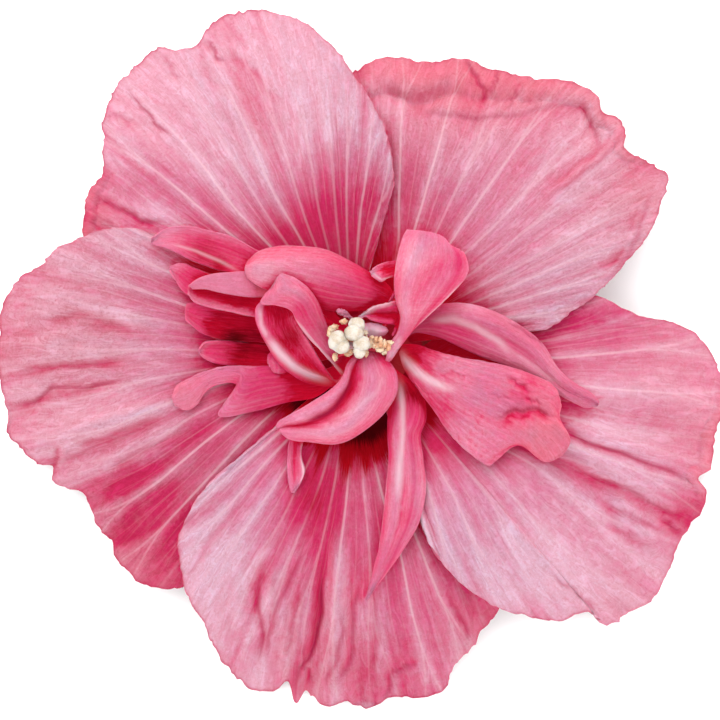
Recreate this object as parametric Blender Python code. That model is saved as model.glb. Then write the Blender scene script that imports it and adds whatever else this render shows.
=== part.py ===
"""A picked rose of sharon flower, semi-double, lying face up on its petal rims.

Five broad outer petals overlap in a ring, a tuft of narrow petaloids stands round the staminal column inside
them, and a green calyx with a ring of narrow bracts and a short cut stalk holds them from below.
"""

import math
import random

import bmesh
import bpy
import numpy as np
from mathutils import Vector

# Driving dimensions, in metres
FLOWER_WIDTH = 0.0864
BLADE = 0.0007
BRACT_BLADE = 0.0008
CLEARANCE = 0.0004
MM = 0.001

# Outlines are read in picture units: the flower's width is 720 of them, x to the right and y down
PICTURE_UNITS = 720
UNIT = FLOWER_WIDTH / PICTURE_UNITS
ORIGIN_UNITS = (360.4, 358.7)
AXIS_UNITS = (370, 352)
COLUMN_UNITS = (366, 348)

# The arched form that the outer petals share, in millimetres: highest at the crown, falling both ways
CROWN_HEIGHT = 19.6
CROWN_RADIUS = 20.0
FALL_PER_CENTIMETRE = 3.0
CLAW_RADIUS = 5.0
CLAW_FOOT = 5.85
CLAW_SHARE = 0.2
REACH_POWER = 1.4
OVERLAP_TILT = 1.35
TILT_SHARE = 0.28
BEND_FROM = 14.0
RIM_RADIUS = 42.0
RESTING_HEIGHT = 0.22
SETTLING_STEPS = 6

# How finely each sheet is divided
PETAL_COLUMNS = 28
PETAL_ROWS = 10
STRIP_COLUMNS = 6
STRIP_ROWS = 9
FAN_COLUMNS = 16
FAN_ROWS = 8

# Turned profiles, as radius and height in millimetres
COLUMN_PROFILE = (
    (0, 6.9), (3.4, 6.9), (3.3, 8.5), (2.6, 11), (1.9, 14), (1.5, 18), (1.35, 24.6),
    (1.1, 25.1), (0.75, 25.1), (0.75, 23.2), (0, 23.2),
)
CALYX_INNER = ((0, 6.5), (5.6, 6.5), (6.2, 7.3), (6.7, 9.0), (7.3, 11.2))
CALYX_LOBE_INNER = ((8.8, 13.2), (10.6, 14.3), (12.2, 14.9))
CALYX_LOBE_OUTER = ((12.3, 14.3), (10.9, 13.6), (9.3, 12.5))
CALYX_OUTER = ((8.0, 10.9), (7.5, 9.0), (6.9, 7.0), (5.8, 5.4), (4.3, 4.4), (2.4, 3.75), (0, 3.75))
CALYX_LOBES = 5
STEPS_PER_LOBE = 6
LOBE_NOTCH = 0.08
STALK_PROFILE = ((0, 0.4), (1.35, 0.4), (1.4, 1.6), (1.7, 2.6), (2.5, 3.3), (2.3, 3.45), (0, 3.45))
ROUND_STEPS = 12

# The ring of bracts, in millimetres
BRACT_COUNT = 7
BRACT_ROOT = 1.6
BRACT_REACH = 9.4
BRACT_HALF_WIDTH = 0.8
BRACT_HEIGHT = 2.75
BRACT_RISE = 3.4

# Anthers on their filaments, in millimetres
ANTHER_COUNT = 13
ANTHER_SEED = 11
ANTHER_RADIUS = 0.55
FILAMENT_RADIUS = 0.22
FILAMENT_ROOT = 1.05
FILAMENT_FOOT = 22.0
FILAMENT_TIER = 0.8
FILAMENT_REACH = (1.4, 2.2)
FILAMENT_RISE = (2.6, 3.6)

# The style, in millimetres, and its stigma lobes: place in picture units, height and radius in millimetres
STYLE_FOOT = 23.6
STYLE_TOP = 25.8
STYLE_RADIUS = 0.42
BRANCH_RADIUS = 0.33
STIGMA_LOBES = (
    (356, 324, 28.6, 1.0),
    (352, 334, 29.6, 1.2),
    (338, 343, 29.3, 1.4),
    (361, 343, 29.2, 1.2),
    (359, 353, 28.2, 0.9),
)

PINK = (0.84, 0.25, 0.38, 1)
PALE_PINK = (0.88, 0.38, 0.50, 1)
GREEN = (0.28, 0.42, 0.13, 1)
CREAM = (0.93, 0.89, 0.74, 1)
YELLOW = (0.89, 0.74, 0.38, 1)

# Outer petals. claw: the claw's arc about the axis, in degrees.
# rim: its points in picture units, from the side that lies on top round to the side under the next petal.
# swell: a place along the rim, from -1 to 1, and how much higher it stands there, in mm.
# pleats: a fold's place, its half-width, its height in mm, and where along the petal it starts.
OUTER_PETALS = {
    "petal_upper_left": {
        "claw": (112, 146),
        "rim": (
            (394, 185), (391, 155), (380, 118), (358, 82), (335, 50), (302, 22), (268, 11), (232, 12),
            (206, 28), (197, 46), (178, 50), (158, 46), (138, 60), (118, 85), (105, 115), (103, 150),
            (104, 176), (92, 188), (86, 215), (84, 238), (96, 262), (122, 276),
        ),
        "swell": (
            (-1, 0.6), (-0.55, 1.2), (-0.2, 0.0), (0, 1.6), (0.25, -0.5), (0.5, 1.2), (0.75, -0.6), (1, -1.2),
        ),
        "pleats": (
            (0.05, 0.035, 1.0, 0.7), (-0.12, 0.05, -0.7, 0.6), (0.33, 0.05, -0.9, 0.62),
            (0.42, 0.05, 0.7, 0.6),
        ),
    },
    "petal_upper_right": {
        "claw": (19, 77),
        "rim": (
            (545, 330), (592, 296), (624, 265), (646, 236), (660, 206), (668, 178), (650, 162), (628, 150),
            (622, 122), (604, 112), (599, 95), (580, 84), (545, 79), (515, 74), (484, 66), (460, 58),
            (430, 63), (398, 58), (372, 62), (350, 76), (331, 100), (322, 140), (328, 190),
        ),
        "swell": (
            (-1, 2.0), (-0.7, 2.8), (-0.4, 0.8), (-0.15, -1.0), (0.15, -2.0), (0.45, -2.4), (0.75, -1.6),
            (1, -1.2),
        ),
        "pleats": (
            (-0.27, 0.05, 1.1, 0.6), (-0.16, 0.04, -1.0, 0.6), (0.28, 0.04, -1.3, 0.78),
            (0.34, 0.04, 0.8, 0.78), (0.3, 0.4, -1.8, 0.84),
        ),
    },
    "petal_right": {
        "claw": (-71, -9),
        "rim": (
            (420, 500), (424, 530), (440, 560), (462, 583), (486, 600), (515, 612), (560, 619), (590, 612),
            (604, 624), (628, 615), (652, 600), (668, 574), (680, 542), (698, 514), (706, 492), (697, 477),
            (710, 470), (714, 440), (722, 408), (721, 375), (706, 344), (675, 324), (640, 316), (605, 300),
            (560, 284), (520, 284), (498, 294),
        ),
        "swell": ((-1, 1.0), (-0.6, 1.6), (-0.2, -0.4), (0.1, 1.0), (0.4, -0.6), (0.7, 0.8), (1, -1.2)),
        "pleats": (
            (0.18, 0.05, -1.3, 0.5), (0.27, 0.05, 0.8, 0.5), (0.05, 0.05, 0.6, 0.55),
            (-0.18, 0.04, -0.8, 0.7), (-0.1, 0.05, 0.6, 0.6),
        ),
    },
    "petal_bottom": {
        "claw": (220, 274),
        "rim": (
            (215, 478), (194, 504), (180, 538), (181, 560), (184, 582), (198, 610), (214, 645), (234, 674),
            (258, 690), (276, 688), (287, 683), (297, 702), (304, 693), (325, 708), (346, 703), (370, 710),
            (392, 698), (420, 697), (446, 690), (453, 668), (474, 645), (486, 626), (498, 608), (500, 575),
            (480, 530), (452, 500),
        ),
        "swell": ((-1, 1.4), (-0.6, 2.0), (-0.25, 0.4), (0.1, -0.6), (0.5, -1.4), (0.8, -2.0), (1, -1.8)),
        "pleats": (
            (-0.22, 0.035, -1.1, 0.5), (-0.14, 0.03, 1.0, 0.5), (-0.06, 0.03, -1.3, 0.5),
            (0.02, 0.03, 1.2, 0.55), (0.1, 0.035, -1.0, 0.5), (0.36, 0.05, 0.6, 0.5),
        ),
    },
    "petal_left": {
        "claw": (157, 209),
        "rim": (
            (165, 236), (125, 229), (100, 230), (82, 238), (55, 250), (42, 264), (20, 277), (6, 292),
            (-1, 320), (0, 350), (-1, 385), (8, 415), (7, 432), (22, 449), (38, 464), (54, 466),
            (54, 480), (70, 488), (88, 497), (95, 520), (112, 540), (120, 562), (142, 584), (165, 588),
            (186, 586), (205, 566), (228, 530), (246, 498),
        ),
        "swell": ((-1, 1.0), (-0.6, 1.8), (-0.25, -0.4), (0.1, 1.0), (0.4, -0.8), (0.7, -1.2), (1, -1.8)),
        "pleats": (
            (-0.28, 0.06, 0.9, 0.35), (-0.12, 0.05, -0.8, 0.4), (0.0, 0.05, 0.9, 0.35),
            (0.13, 0.05, -1.0, 0.4), (0.24, 0.05, 0.7, 0.5), (0.45, 0.06, -0.7, 0.5),
        ),
    },
}

# Petaloids, lowest in the tuft first. A strip's station is a place on its rib in picture units, the rib's
# height in mm, the blade's width to its left and right in picture units, and how far the left and right edges
# stand above the rib, in mm. A fan opens from a foot to a rim, with its heights at foot, middle and rim in mm,
# and a crease given as place, half-width and height in mm.
PETALOIDS = {
    "petaloid_torn_strip": (
        (350, 366, 15.0, 4, 4, 0, 0), (322, 412, 18.0, 6, 6, 0.2, 0.2), (302, 444, 19.6, 7, 7, 0.8, 0.0),
        (298, 470, 19.8, 7, 6, 0.9, 0.0), (294, 491, 19.2, 2, 2, 0.2, 0.0),
    ),
    "petaloid_left_low": (
        (346, 352, 15.5, 5, 5, 0, 0), (300, 353, 18.4, 9, 9, 0.3, 0.5), (250, 353, 20.2, 11, 9, 0.4, 0.8),
        (204, 348, 20.4, 7, 7, 0.3, 0.6),
    ),
    "petaloid_left_dark": (
        (346, 346, 15.8, 5, 5, 0, 0), (298, 335, 18.8, 11, 11, 0.3, 0.4),
        (245, 324, 20.8, 13, 14, 0.2, 0.5), (190, 314, 21.0, 9, 9, 0.3, 0.5),
    ),
    "petaloid_left_tip": (
        (348, 340, 16.2, 4, 4, 0, 0), (300, 317, 19.4, 7, 7, 0.2, 0.2), (245, 294, 21.2, 9, 9, 0.3, 0.3),
        (205, 279, 21.6, 8, 9, 0.4, 0.5), (173, 267, 21.2, 3, 4, 0.2, 0.6),
    ),
    "petaloid_upper_left": (
        (352, 336, 16.6, 4, 4, 0, 0), (315, 307, 19.8, 8, 8, 0.3, 0.3), (280, 280, 21.8, 13, 12, 0.4, 0.6),
        (240, 261, 22.6, 16, 14, 0.2, 1.2), (198, 249, 22.4, 20, 16, -0.2, 1.2),
        (165, 241, 21.8, 10, 8, 0, 0.4), (152, 240, 21.4, 2, 2, 0, 0),
    ),
    "petaloid_hooked": (
        (352, 360, 16.5, 5, 5, 0, 0), (318, 386, 19.0, 10, 10, 0.4, 0.4), (282, 391, 20.6, 15, 17, 0, 0.2),
        (248, 389, 21.3, 21, 17, -0.4, -0.3), (226, 388, 21.5, 22, 14, -0.8, -0.5),
        (208, 387, 21.3, 2, 12, 0, -0.5), (190, 395, 21.0, 12, 12, -0.5, -0.5),
        (178, 403, 20.6, 8, 8, -0.4, -0.4),
    ),
    "petaloid_folded_left": (
        (350, 340, 18.0, 4, 4, 0, 0), (310, 317, 20.8, 9, 9, 0.4, 0.6), (268, 302, 22.4, 13, 15, 0.6, 1.6),
        (230, 294, 22.8, 13, 17, 0.7, 2.0), (200, 289, 22.6, 11, 9, 0.6, 1.0),
        (189, 288, 22.4, 4, 4, 0.2, 0.3),
    ),
    "petaloid_keeled": (
        (352, 357, 18.6, 4, 4, 0, 0), (334, 374, 20.4, 6, 8, 0.8, 0.2), (308, 358, 22.2, 13, 14, 1.6, 0.4),
        (288, 337, 23.4, 14, 17, 1.6, 0.4), (272, 315, 24.0, 12, 16, 1.2, 0.4),
        (262, 300, 24.0, 6, 8, 0.5, 0.2),
    ),
    "petaloid_long_right": (
        (385, 342, 18.4, 4, 4, 0, 0), (404, 334, 20.2, 6, 6, 0.2, 0.2), (434, 323, 22.0, 12, 9, 0.2, 0.2),
        (470, 327, 23.2, 20, 15, -0.8, -0.6), (510, 345, 23.2, 21, 17, -1.2, -0.9),
        (550, 373, 22.4, 14, 13, -0.8, -0.7), (582, 396, 21.2, 8, 7, -0.3, -0.3),
        (597, 407, 20.6, 3, 3, 0, 0),
    ),
    "petaloid_lower_strap": (
        (380, 362, 18.0, 4, 4, 0, 0), (396, 385, 20.6, 9, 6, 0.3, 0.2), (405, 412, 22.0, 20, 14, -0.8, -0.4),
        (404, 440, 22.4, 17, 15, -1.0, -0.7), (407, 480, 22.2, 17, 19, -1.0, -0.8),
        (402, 525, 21.0, 18, 17, -0.8, -0.8), (385, 565, 19.4, 9, 9, -0.3, -0.3),
        (370, 598, 18.2, 2, 2, 0, 0),
    ),
    "petaloid_crumpled": {
        "foot": (386, 352), "foot_half": 5, "heights": (19.6, 24.2, 22.6),
        "rim": (
            (424, 408), (441, 430), (460, 450), (476, 465), (489, 466), (501, 455), (516, 446), (531, 450),
            (541, 461), (552, 459), (566, 451), (567, 436), (556, 419), (558, 401), (547, 383), (521, 371),
            (486, 361), (452, 353), (426, 345), (412, 345),
        ),
        "crease": (-0.5, 0.25, 0.5), "ruffle": 0.5,
    },
    "petaloid_hood": (
        (377, 334, 18.6, 4, 4, 0, 0), (390, 316, 21.0, 8, 4, -0.3, -0.3),
        (382, 296, 23.4, 15, 11, -1.6, -1.0), (350, 284, 25.2, 25, 24, -2.8, -2.2),
        (312, 276, 26.0, 29, 28, -3.0, -2.6),
        (278, 270, 25.2, 20, 20, -1.8, -2.0), (249, 268, 23.6, 5, 5, -0.3, -0.4),
    ),
    "petaloid_twisted": (
        (355, 363, 20.4, 4, 4, 0, 0), (343, 374, 22.4, 5, 6, 0.2, 0.5), (332, 352, 24.6, 8, 10, 0.6, -0.4),
        (320, 328, 26.2, 10, 11, 0.8, -0.8), (309, 306, 27.0, 14, 13, 0.4, -1.2),
        (294, 288, 27.0, 13, 11, -0.2, -1.2), (279, 282, 26.6, 4, 4, 0, -0.3),
    ),
    "petaloid_small_upper": (
        (376, 333, 21.0, 3, 3, 0, 0), (388, 305, 23.2, 5, 5, 0.2, 0.2), (391, 283, 23.8, 8, 6, 0.5, 0.3),
        (380, 270, 23.6, 6, 7, 0.4, 0.4), (369, 272, 23.4, 2, 2, 0, 0),
    ),
    "petaloid_inner_strap": (
        (386, 337, 21.5, 3, 3, 0, 0), (394, 324, 24.0, 7, 6, 0.9, 0.3), (384, 315, 25.0, 10, 5, 0.2, 1.4),
        (368, 317, 25.2, 5, 3, 0, 0.8), (361, 320, 25.2, 2, 2, 0, 0.2),
    ),
    "petaloid_tongue": (
        (371, 368, 21.8, 5, 5, 0, 0), (374, 382, 26.2, 20, 18, -1.4, -0.2),
        (366, 400, 27.4, 28, 20, -2.4, 0.2), (345, 417, 27.2, 23, 18, -2.4, 0.8),
        (318, 427, 26.2, 15, 17, -1.2, 1.4),
        (294, 429, 25.2, 10, 12, 0.3, 1.4), (278, 427, 24.8, 3, 4, 0.2, 0.5),
    ),
    "petaloid_upright": {
        "foot": (395, 349), "foot_half": 3, "heights": (20.5, 29.0, 33.2),
        "rim": (
            (434, 313), (452, 295), (465, 277), (466, 265), (460, 253), (449, 248), (438, 237), (425, 233),
            (408, 232), (400, 246), (396, 264), (395, 285), (399, 305),
        ),
        "crease": (-0.12, 0.2, -2.0), "ruffle": 0.1,
    },
}

ARCH_SHARE = 0.55
RUFFLE_WAVES = 9
RUFFLE_SLANT = 2


def plan(units):
    """Picture units as metres from the origin, x to the right and y up the picture."""
    units = np.asarray(units, float)
    return np.stack([units[..., 0] - ORIGIN_UNITS[0], ORIGIN_UNITS[1] - units[..., 1]], -1) * UNIT


def through(rows, at):
    """A smooth curve through rows of numbers, read at fractions of its length in plan."""
    rows = np.asarray(rows, float)
    steps = np.hypot(*np.diff(rows[:, :2], axis=0).T)
    knots = np.concatenate([[0], np.cumsum(steps)]) / steps.sum()
    slopes = np.gradient(rows, knots, axis=0)
    i = np.clip(np.searchsorted(knots, at, side="right") - 1, 0, len(rows) - 2)
    width = (knots[i + 1] - knots[i])[:, None]
    t = (at - knots[i])[:, None] / width
    ends = rows[i] * (1 + 2 * t) * (1 - t) ** 2 + rows[i + 1] * t * t * (3 - 2 * t)
    return ends + slopes[i] * width * t * (1 - t) ** 2 + slopes[i + 1] * width * t * t * (t - 1)


def smooth(x):
    """0 below 0, 1 above 1, and a soft step between."""
    x = np.clip(x, 0, 1)
    return x * x * (3 - 2 * x)


def bump(u, at, half):
    """A soft ridge of height 1 at a place."""
    return np.exp(-(((u - at) / half) ** 2))


def sheet_points(place, height):
    """Points in metres from places in metres and heights in millimetres."""
    return np.concatenate([place, height[..., None] * MM], -1)


def outer_petal(spec, columns, rows):
    """The middle surface of an outer petal, as rows by columns of points from the claw to the rim."""
    u = np.linspace(-1, 1, columns + 1)
    v = np.linspace(0, 1, rows + 1)[:, None]
    axis = plan(AXIS_UNITS)
    angle = np.radians(np.interp(u, (-1, 1), spec["claw"]))
    claw = axis + CLAW_RADIUS * MM * np.stack([np.cos(angle), np.sin(angle)], -1)
    rim = through(plan(spec["rim"]), (u + 1) / 2)
    place = claw + (rim - claw) * (v**REACH_POWER)[..., None]
    radius = np.linalg.norm(place - axis, axis=2) / MM
    height = CROWN_HEIGHT - FALL_PER_CENTIMETRE * ((radius - CROWN_RADIUS) / 10) ** 2
    height = height - CLAW_FOOT * np.clip(1 - v / CLAW_SHARE, 0, 1) ** 2
    height = height - OVERLAP_TILT * u * smooth(v / TILT_SHARE)
    outward = smooth((radius - BEND_FROM) / (RIM_RADIUS - BEND_FROM))
    places, swell = zip(*spec["swell"])
    height = height + np.interp(u, places, swell) * outward
    for at, half, rise, start in spec["pleats"]:
        height = height + rise * bump(u, at, half) * smooth((v - start) / (1 - start))
    return sheet_points(place, settled(height, outward))


def settled(height, outward):
    """The same heights with the blade bent down outside the crown until its rim rests on the surface."""
    for _ in range(SETTLING_STEPS):
        height = height - (height.min() - RESTING_HEIGHT) * outward
    return height


def strip(stations, columns, rows):
    """The middle surface of a strip petaloid, as rows by columns of points from the foot to the tip."""
    at = through(stations, np.linspace(0, 1, rows + 1))
    x, y, rib_height, left_width, right_width, left_lift, right_lift = at.T
    rib = plan(at[:, :2])
    heading = np.gradient(rib, axis=0)
    heading /= np.linalg.norm(heading, axis=1)[:, None]
    side = np.stack([-heading[:, 1], heading[:, 0]], -1)
    across = np.linspace(1, -1, columns + 1)
    left = np.clip(across, 0, None)
    right = np.clip(-across, 0, None)
    reach = (np.outer(left_width, left) - np.outer(right_width, right)) * UNIT
    place = rib[:, None, :] + side[:, None, :] * reach[..., None]
    height = rib_height[:, None] + np.outer(left_lift, left**2) + np.outer(right_lift, right**2)
    return sheet_points(place, height)


def fan(spec, columns, rows):
    """The middle surface of a fan-shaped petaloid, as rows by columns of points from the foot to the rim."""
    u = np.linspace(-1, 1, columns + 1)
    v = np.linspace(0, 1, rows + 1)[:, None]
    rim = through(plan(spec["rim"]), (u + 1) / 2)
    foot = plan(spec["foot"])
    towards = rim.mean(axis=0) - foot
    across = np.array([-towards[1], towards[0]]) / np.linalg.norm(towards)
    base = foot + across * (u * spec["foot_half"] * UNIT)[:, None]
    place = base + (rim - base) * v[..., None]
    low, middle, high = spec["heights"]
    arch = np.sin(np.clip(v / ARCH_SHARE, 0, 1) * math.pi / 2)
    height = low + (middle - low) * arch + (high - middle) * smooth((v - ARCH_SHARE) / (1 - ARCH_SHARE))
    at, half, depth = spec["crease"]
    height = height + depth * bump(u, at, half) * np.sin(v * math.pi / 2)
    height = height + spec["ruffle"] * np.sin(RUFFLE_WAVES * u + RUFFLE_SLANT * v) * v**2
    return sheet_points(place, height)


class Pile:
    """The highest point so far over each small square of the plan, so that a new blade lies on it."""

    CELL = 0.0004
    CELLS_EACH_WAY = 130
    FINER = 5
    ROUNDS = 3
    SOFTENING_STEPS = 10
    SOFTENING = 0.97

    def __init__(self):
        self.top = np.zeros((2 * self.CELLS_EACH_WAY, 2 * self.CELLS_EACH_WAY))

    def finer(self, grid):
        """Points between the grid's own, on its flat facets."""
        rows = grid.shape[0] - 1
        columns = grid.shape[1] - 1
        r = np.linspace(0, rows, rows * self.FINER + 1)
        c = np.linspace(0, columns, columns * self.FINER + 1)
        i = np.minimum(r.astype(int), rows - 1)
        j = np.minimum(c.astype(int), columns - 1)
        a = (r - i)[:, None, None]
        b = (c - j)[None, :, None]
        low = grid[i][:, j] * (1 - b) + grid[i][:, j + 1] * b
        high = grid[i + 1][:, j] * (1 - b) + grid[i + 1][:, j + 1] * b
        return low * (1 - a) + high * a

    def faces(self, grid):
        """The blade's lower and upper faces, half its thickness off the middle surface."""
        normal = np.cross(np.gradient(grid, axis=1), np.gradient(grid, axis=0))
        normal /= np.maximum(np.linalg.norm(normal, axis=2), 1e-12)[..., None]
        normal *= np.where(normal[..., 2:3] < 0, -1, 1)
        return self.finer(grid - normal * BLADE / 2), self.finer(grid + normal * BLADE / 2)

    def cells(self, points):
        """The squares that points fall in, as two arrays of indices."""
        places = (points[..., :2] / self.CELL).astype(int) + self.CELLS_EACH_WAY
        places = np.clip(places, 0, 2 * self.CELLS_EACH_WAY - 1)
        return places[..., 0], places[..., 1]

    def add(self, grid):
        for face in self.faces(grid):
            np.maximum.at(self.top, self.cells(face), face[..., 2])

    def spread(self):
        """The pile's heights, each raised to its highest neighbour's."""
        top = self.top
        for axis in (0, 1):
            top = np.maximum(top, np.maximum(np.roll(top, 1, axis), np.roll(top, -1, axis)))
        return top

    def shortfall(self, grid, top):
        """How far each point of the grid must rise for the facets round it to clear the pile."""
        lower = self.faces(grid)[0]
        short = top[self.cells(lower)] + CLEARANCE - lower[..., 2]
        k = self.FINER
        wide = np.pad(short, k, mode="edge")
        rows, columns = short.shape
        shifts = [(a, b) for a in range(2 * k + 1) for b in range(2 * k + 1)]
        nearby = [wide[a : a + rows, b : b + columns] for a, b in shifts]
        return np.maximum(np.max(nearby, axis=0)[::k, ::k], 0)

    def softened(self, need):
        """The same rise or more at each point, falling off softly along and across the blade."""
        rise = need
        for _ in range(self.SOFTENING_STEPS):
            wide = np.pad(rise, 1, mode="edge")
            mean = (wide[:-2, 1:-1] + wide[2:, 1:-1] + wide[1:-1, :-2] + wide[1:-1, 2:]) / 4
            rise = np.maximum(need, mean * self.SOFTENING)
        return rise

    def lifted(self, grid):
        """The grid raised until it clears the pile."""
        top = self.spread()
        for _ in range(self.ROUNDS):
            grid = grid.copy()
            grid[..., 2] += self.softened(self.shortfall(grid, top))
        return grid


def clear_scene():
    for old in list(bpy.data.objects):
        bpy.data.objects.remove(old)


def material(name, colour, roughness):
    made = bpy.data.materials.new(name)
    made.use_nodes = True
    shader = made.node_tree.nodes["Principled BSDF"]
    shader.inputs["Base Color"].default_value = colour
    shader.inputs["Roughness"].default_value = roughness
    shader.inputs["Metallic"].default_value = 0
    return made


def add_object(name, shape, finish):
    """An object made from a bmesh, with its finish."""
    mesh = bpy.data.meshes.new(name)
    shape.to_mesh(mesh)
    shape.free()
    mesh.materials.append(finish)
    mesh.shade_smooth()
    made = bpy.data.objects.new(name, mesh)
    bpy.context.scene.collection.objects.link(made)
    return made


def grid_shape(grid):
    """A bmesh grid bent to the points of a rows by columns array."""
    shape = bmesh.new()
    bmesh.ops.create_grid(shape, x_segments=grid.shape[1] - 1, y_segments=grid.shape[0] - 1, size=0.5)
    for vertex, point in zip(shape.verts, grid.reshape(-1, 3)):
        vertex.co = Vector(point)
    return shape


def closed_shape(grid):
    """A bmesh grid bent to a closed form, with its seam and poles joined and its faces outwards."""
    shape = grid_shape(grid)
    bmesh.ops.remove_doubles(shape, verts=shape.verts, dist=1e-6)
    bmesh.ops.recalc_face_normals(shape, faces=shape.faces)
    return shape


def blade(name, grid, finish, thickness=BLADE):
    """A thin solid about a grid of points, split into triangles alike on both faces."""
    shape = grid_shape(grid)
    bmesh.ops.triangulate(shape, faces=shape.faces, quad_method="FIXED")
    made = add_object(name, shape, finish)
    thicken = made.modifiers.new("thickness", "SOLIDIFY")
    thicken.thickness = thickness
    thicken.offset = 0
    return made


def turned(name, profiles, centre, finish):
    """A round solid, one profile of radius and height for each step round its axis, closed at both poles."""
    angle = np.linspace(0, 2 * math.pi, len(profiles) + 1)
    closed = np.array([*profiles, profiles[0]], float) * MM
    radius, height = closed[..., 0].T, closed[..., 1].T
    x = centre[0] + radius * np.cos(angle)
    y = centre[1] + radius * np.sin(angle)
    return add_object(name, closed_shape(np.stack([x, y, height], -1)), finish)


def ball(name, centre, radius, finish, segments):
    shape = bmesh.new()
    bmesh.ops.create_uvsphere(shape, u_segments=segments, v_segments=segments - 2, radius=radius)
    bmesh.ops.translate(shape, vec=Vector(centre), verts=shape.verts)
    return add_object(name, shape, finish)


def rod(name, points, radius, finish, sides):
    """A thin round rod along points, closed at both ends."""
    points = np.asarray(points, float)
    angle = np.linspace(0, 2 * math.pi, sides + 1)
    rings = [np.repeat(points[:1], sides + 1, axis=0)]
    for point, heading in zip(points, np.gradient(points, axis=0)):
        x = Vector(heading).orthogonal().normalized()
        y = Vector(heading).cross(x).normalized()
        rings.append(point + radius * (np.outer(np.cos(angle), x) + np.outer(np.sin(angle), y)))
    rings.append(np.repeat(points[-1:], sides + 1, axis=0))
    return add_object(name, closed_shape(np.array(rings)), finish)


def fuse(trunk, repeats):
    """One body of the trunk and what grows from it."""
    group = bpy.data.collections.new(trunk.name + "_repeats")
    for piece in repeats:
        group.objects.link(piece)
    join = trunk.modifiers.new("join", "BOOLEAN")
    join.operation = "UNION"
    join.operand_type = "COLLECTION"
    join.collection = group
    join.solver = "EXACT"
    graph = bpy.context.evaluated_depsgraph_get()
    joined = bpy.data.meshes.new_from_object(trunk.evaluated_get(graph))
    trunk.modifiers.clear()
    trunk.data = joined
    for piece in repeats:
        bpy.data.objects.remove(piece)
    bpy.data.collections.remove(group)
    return trunk


def build_petals_and_petaloids(petal_finish, petaloid_finish):
    """The outer petals in their ring, then each petaloid laid on what is below it."""
    pile = Pile()
    for name, spec in OUTER_PETALS.items():
        grid = outer_petal(spec, PETAL_COLUMNS, PETAL_ROWS)
        pile.add(grid)
        blade(name, grid, petal_finish)
    for name, spec in PETALOIDS.items():
        if isinstance(spec, dict):
            grid = fan(spec, FAN_COLUMNS, FAN_ROWS)
        else:
            grid = strip(spec, STRIP_COLUMNS, STRIP_ROWS)
        grid = pile.lifted(grid)
        pile.add(grid)
        blade(name, grid, petaloid_finish)


def build_calyx(finish):
    """A bell-shaped cup whose rim runs out into pointed lobes."""
    inner, outer = np.array(CALYX_INNER), np.array(CALYX_OUTER)
    lobe_inner, lobe_outer = np.array(CALYX_LOBE_INNER), np.array(CALYX_LOBE_OUTER)
    profiles = []
    for k in range(STEPS_PER_LOBE * CALYX_LOBES):
        turn = k / STEPS_PER_LOBE
        out = 1 - 2 * abs(turn - round(turn))
        share = LOBE_NOTCH + (1 - LOBE_NOTCH) * out
        tip_inner = inner[-1] + (lobe_inner - inner[-1]) * share
        tip_outer = outer[0] + (lobe_outer - outer[0]) * share
        profiles.append(np.concatenate([inner, tip_inner, tip_outer, outer]))
    return turned("calyx", profiles, plan(AXIS_UNITS), finish)


def bract_grid(k):
    """The middle surface of one bract: narrow, pointed, running out below the calyx and curving up."""
    turn = 2 * math.pi * (k + 0.3) / BRACT_COUNT
    out = np.array([math.cos(turn), math.sin(turn)])
    side = np.array([-out[1], out[0]])
    s = np.linspace(0, 1, 7)[:, None]
    length = 1 + 0.12 * math.sin(5 * k)
    reach = BRACT_ROOT + BRACT_REACH * length * s**0.9
    rise = BRACT_RISE + 0.8 * math.sin(3 * k)
    height = BRACT_HEIGHT - 0.5 * np.sin(math.pi * s) + rise * s**2.2
    half = BRACT_HALF_WIDTH * np.sin(math.pi * (0.18 + 0.78 * s)) ** 0.6
    across = np.linspace(-1, 1, 3)
    along_out = reach * np.ones(3) * MM
    along_side = half * across * MM
    place = plan(AXIS_UNITS) + along_out[..., None] * out + along_side[..., None] * side
    return sheet_points(place, height * np.ones(3))


def build_stalk(finish):
    """The short cut stalk with the ring of narrow bracts that grows below the calyx."""
    stalk = turned("stalk_and_bracts", [STALK_PROFILE] * ROUND_STEPS, plan(AXIS_UNITS), finish)
    bracts = [blade(f"bract_{k}", bract_grid(k), finish, BRACT_BLADE) for k in range(BRACT_COUNT)]
    return fuse(stalk, bracts)


def build_column(finish):
    """The staminal column, with anthers on short filaments fused to its top, each in its own direction."""
    centre = plan(COLUMN_UNITS)
    draw = random.Random(ANTHER_SEED)
    column = turned("staminal_column", [COLUMN_PROFILE] * ROUND_STEPS, centre, finish)
    stamens = []
    for k in range(ANTHER_COUNT):
        turn = 2 * math.pi * (k + draw.uniform(-0.15, 0.15)) / ANTHER_COUNT
        out = np.array([math.cos(turn), math.sin(turn), 0]) * MM
        up = np.array([0, 0, MM])
        foot = FILAMENT_FOOT + FILAMENT_TIER * (k % 3)
        root = np.array([*centre, 0]) + out * FILAMENT_ROOT + up * foot
        tip = root + out * (draw.uniform(*FILAMENT_REACH) - FILAMENT_ROOT) + up * draw.uniform(*FILAMENT_RISE)
        bend = (root + tip) / 2 + out * 0.25 - up * 0.2
        stamens.append(rod(f"filament_{k}", [root, bend, tip], FILAMENT_RADIUS * MM, finish, sides=5))
        stamens.append(ball(f"anther_{k}", tip, ANTHER_RADIUS * MM, finish, segments=6))
    return fuse(column, stamens)


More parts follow.
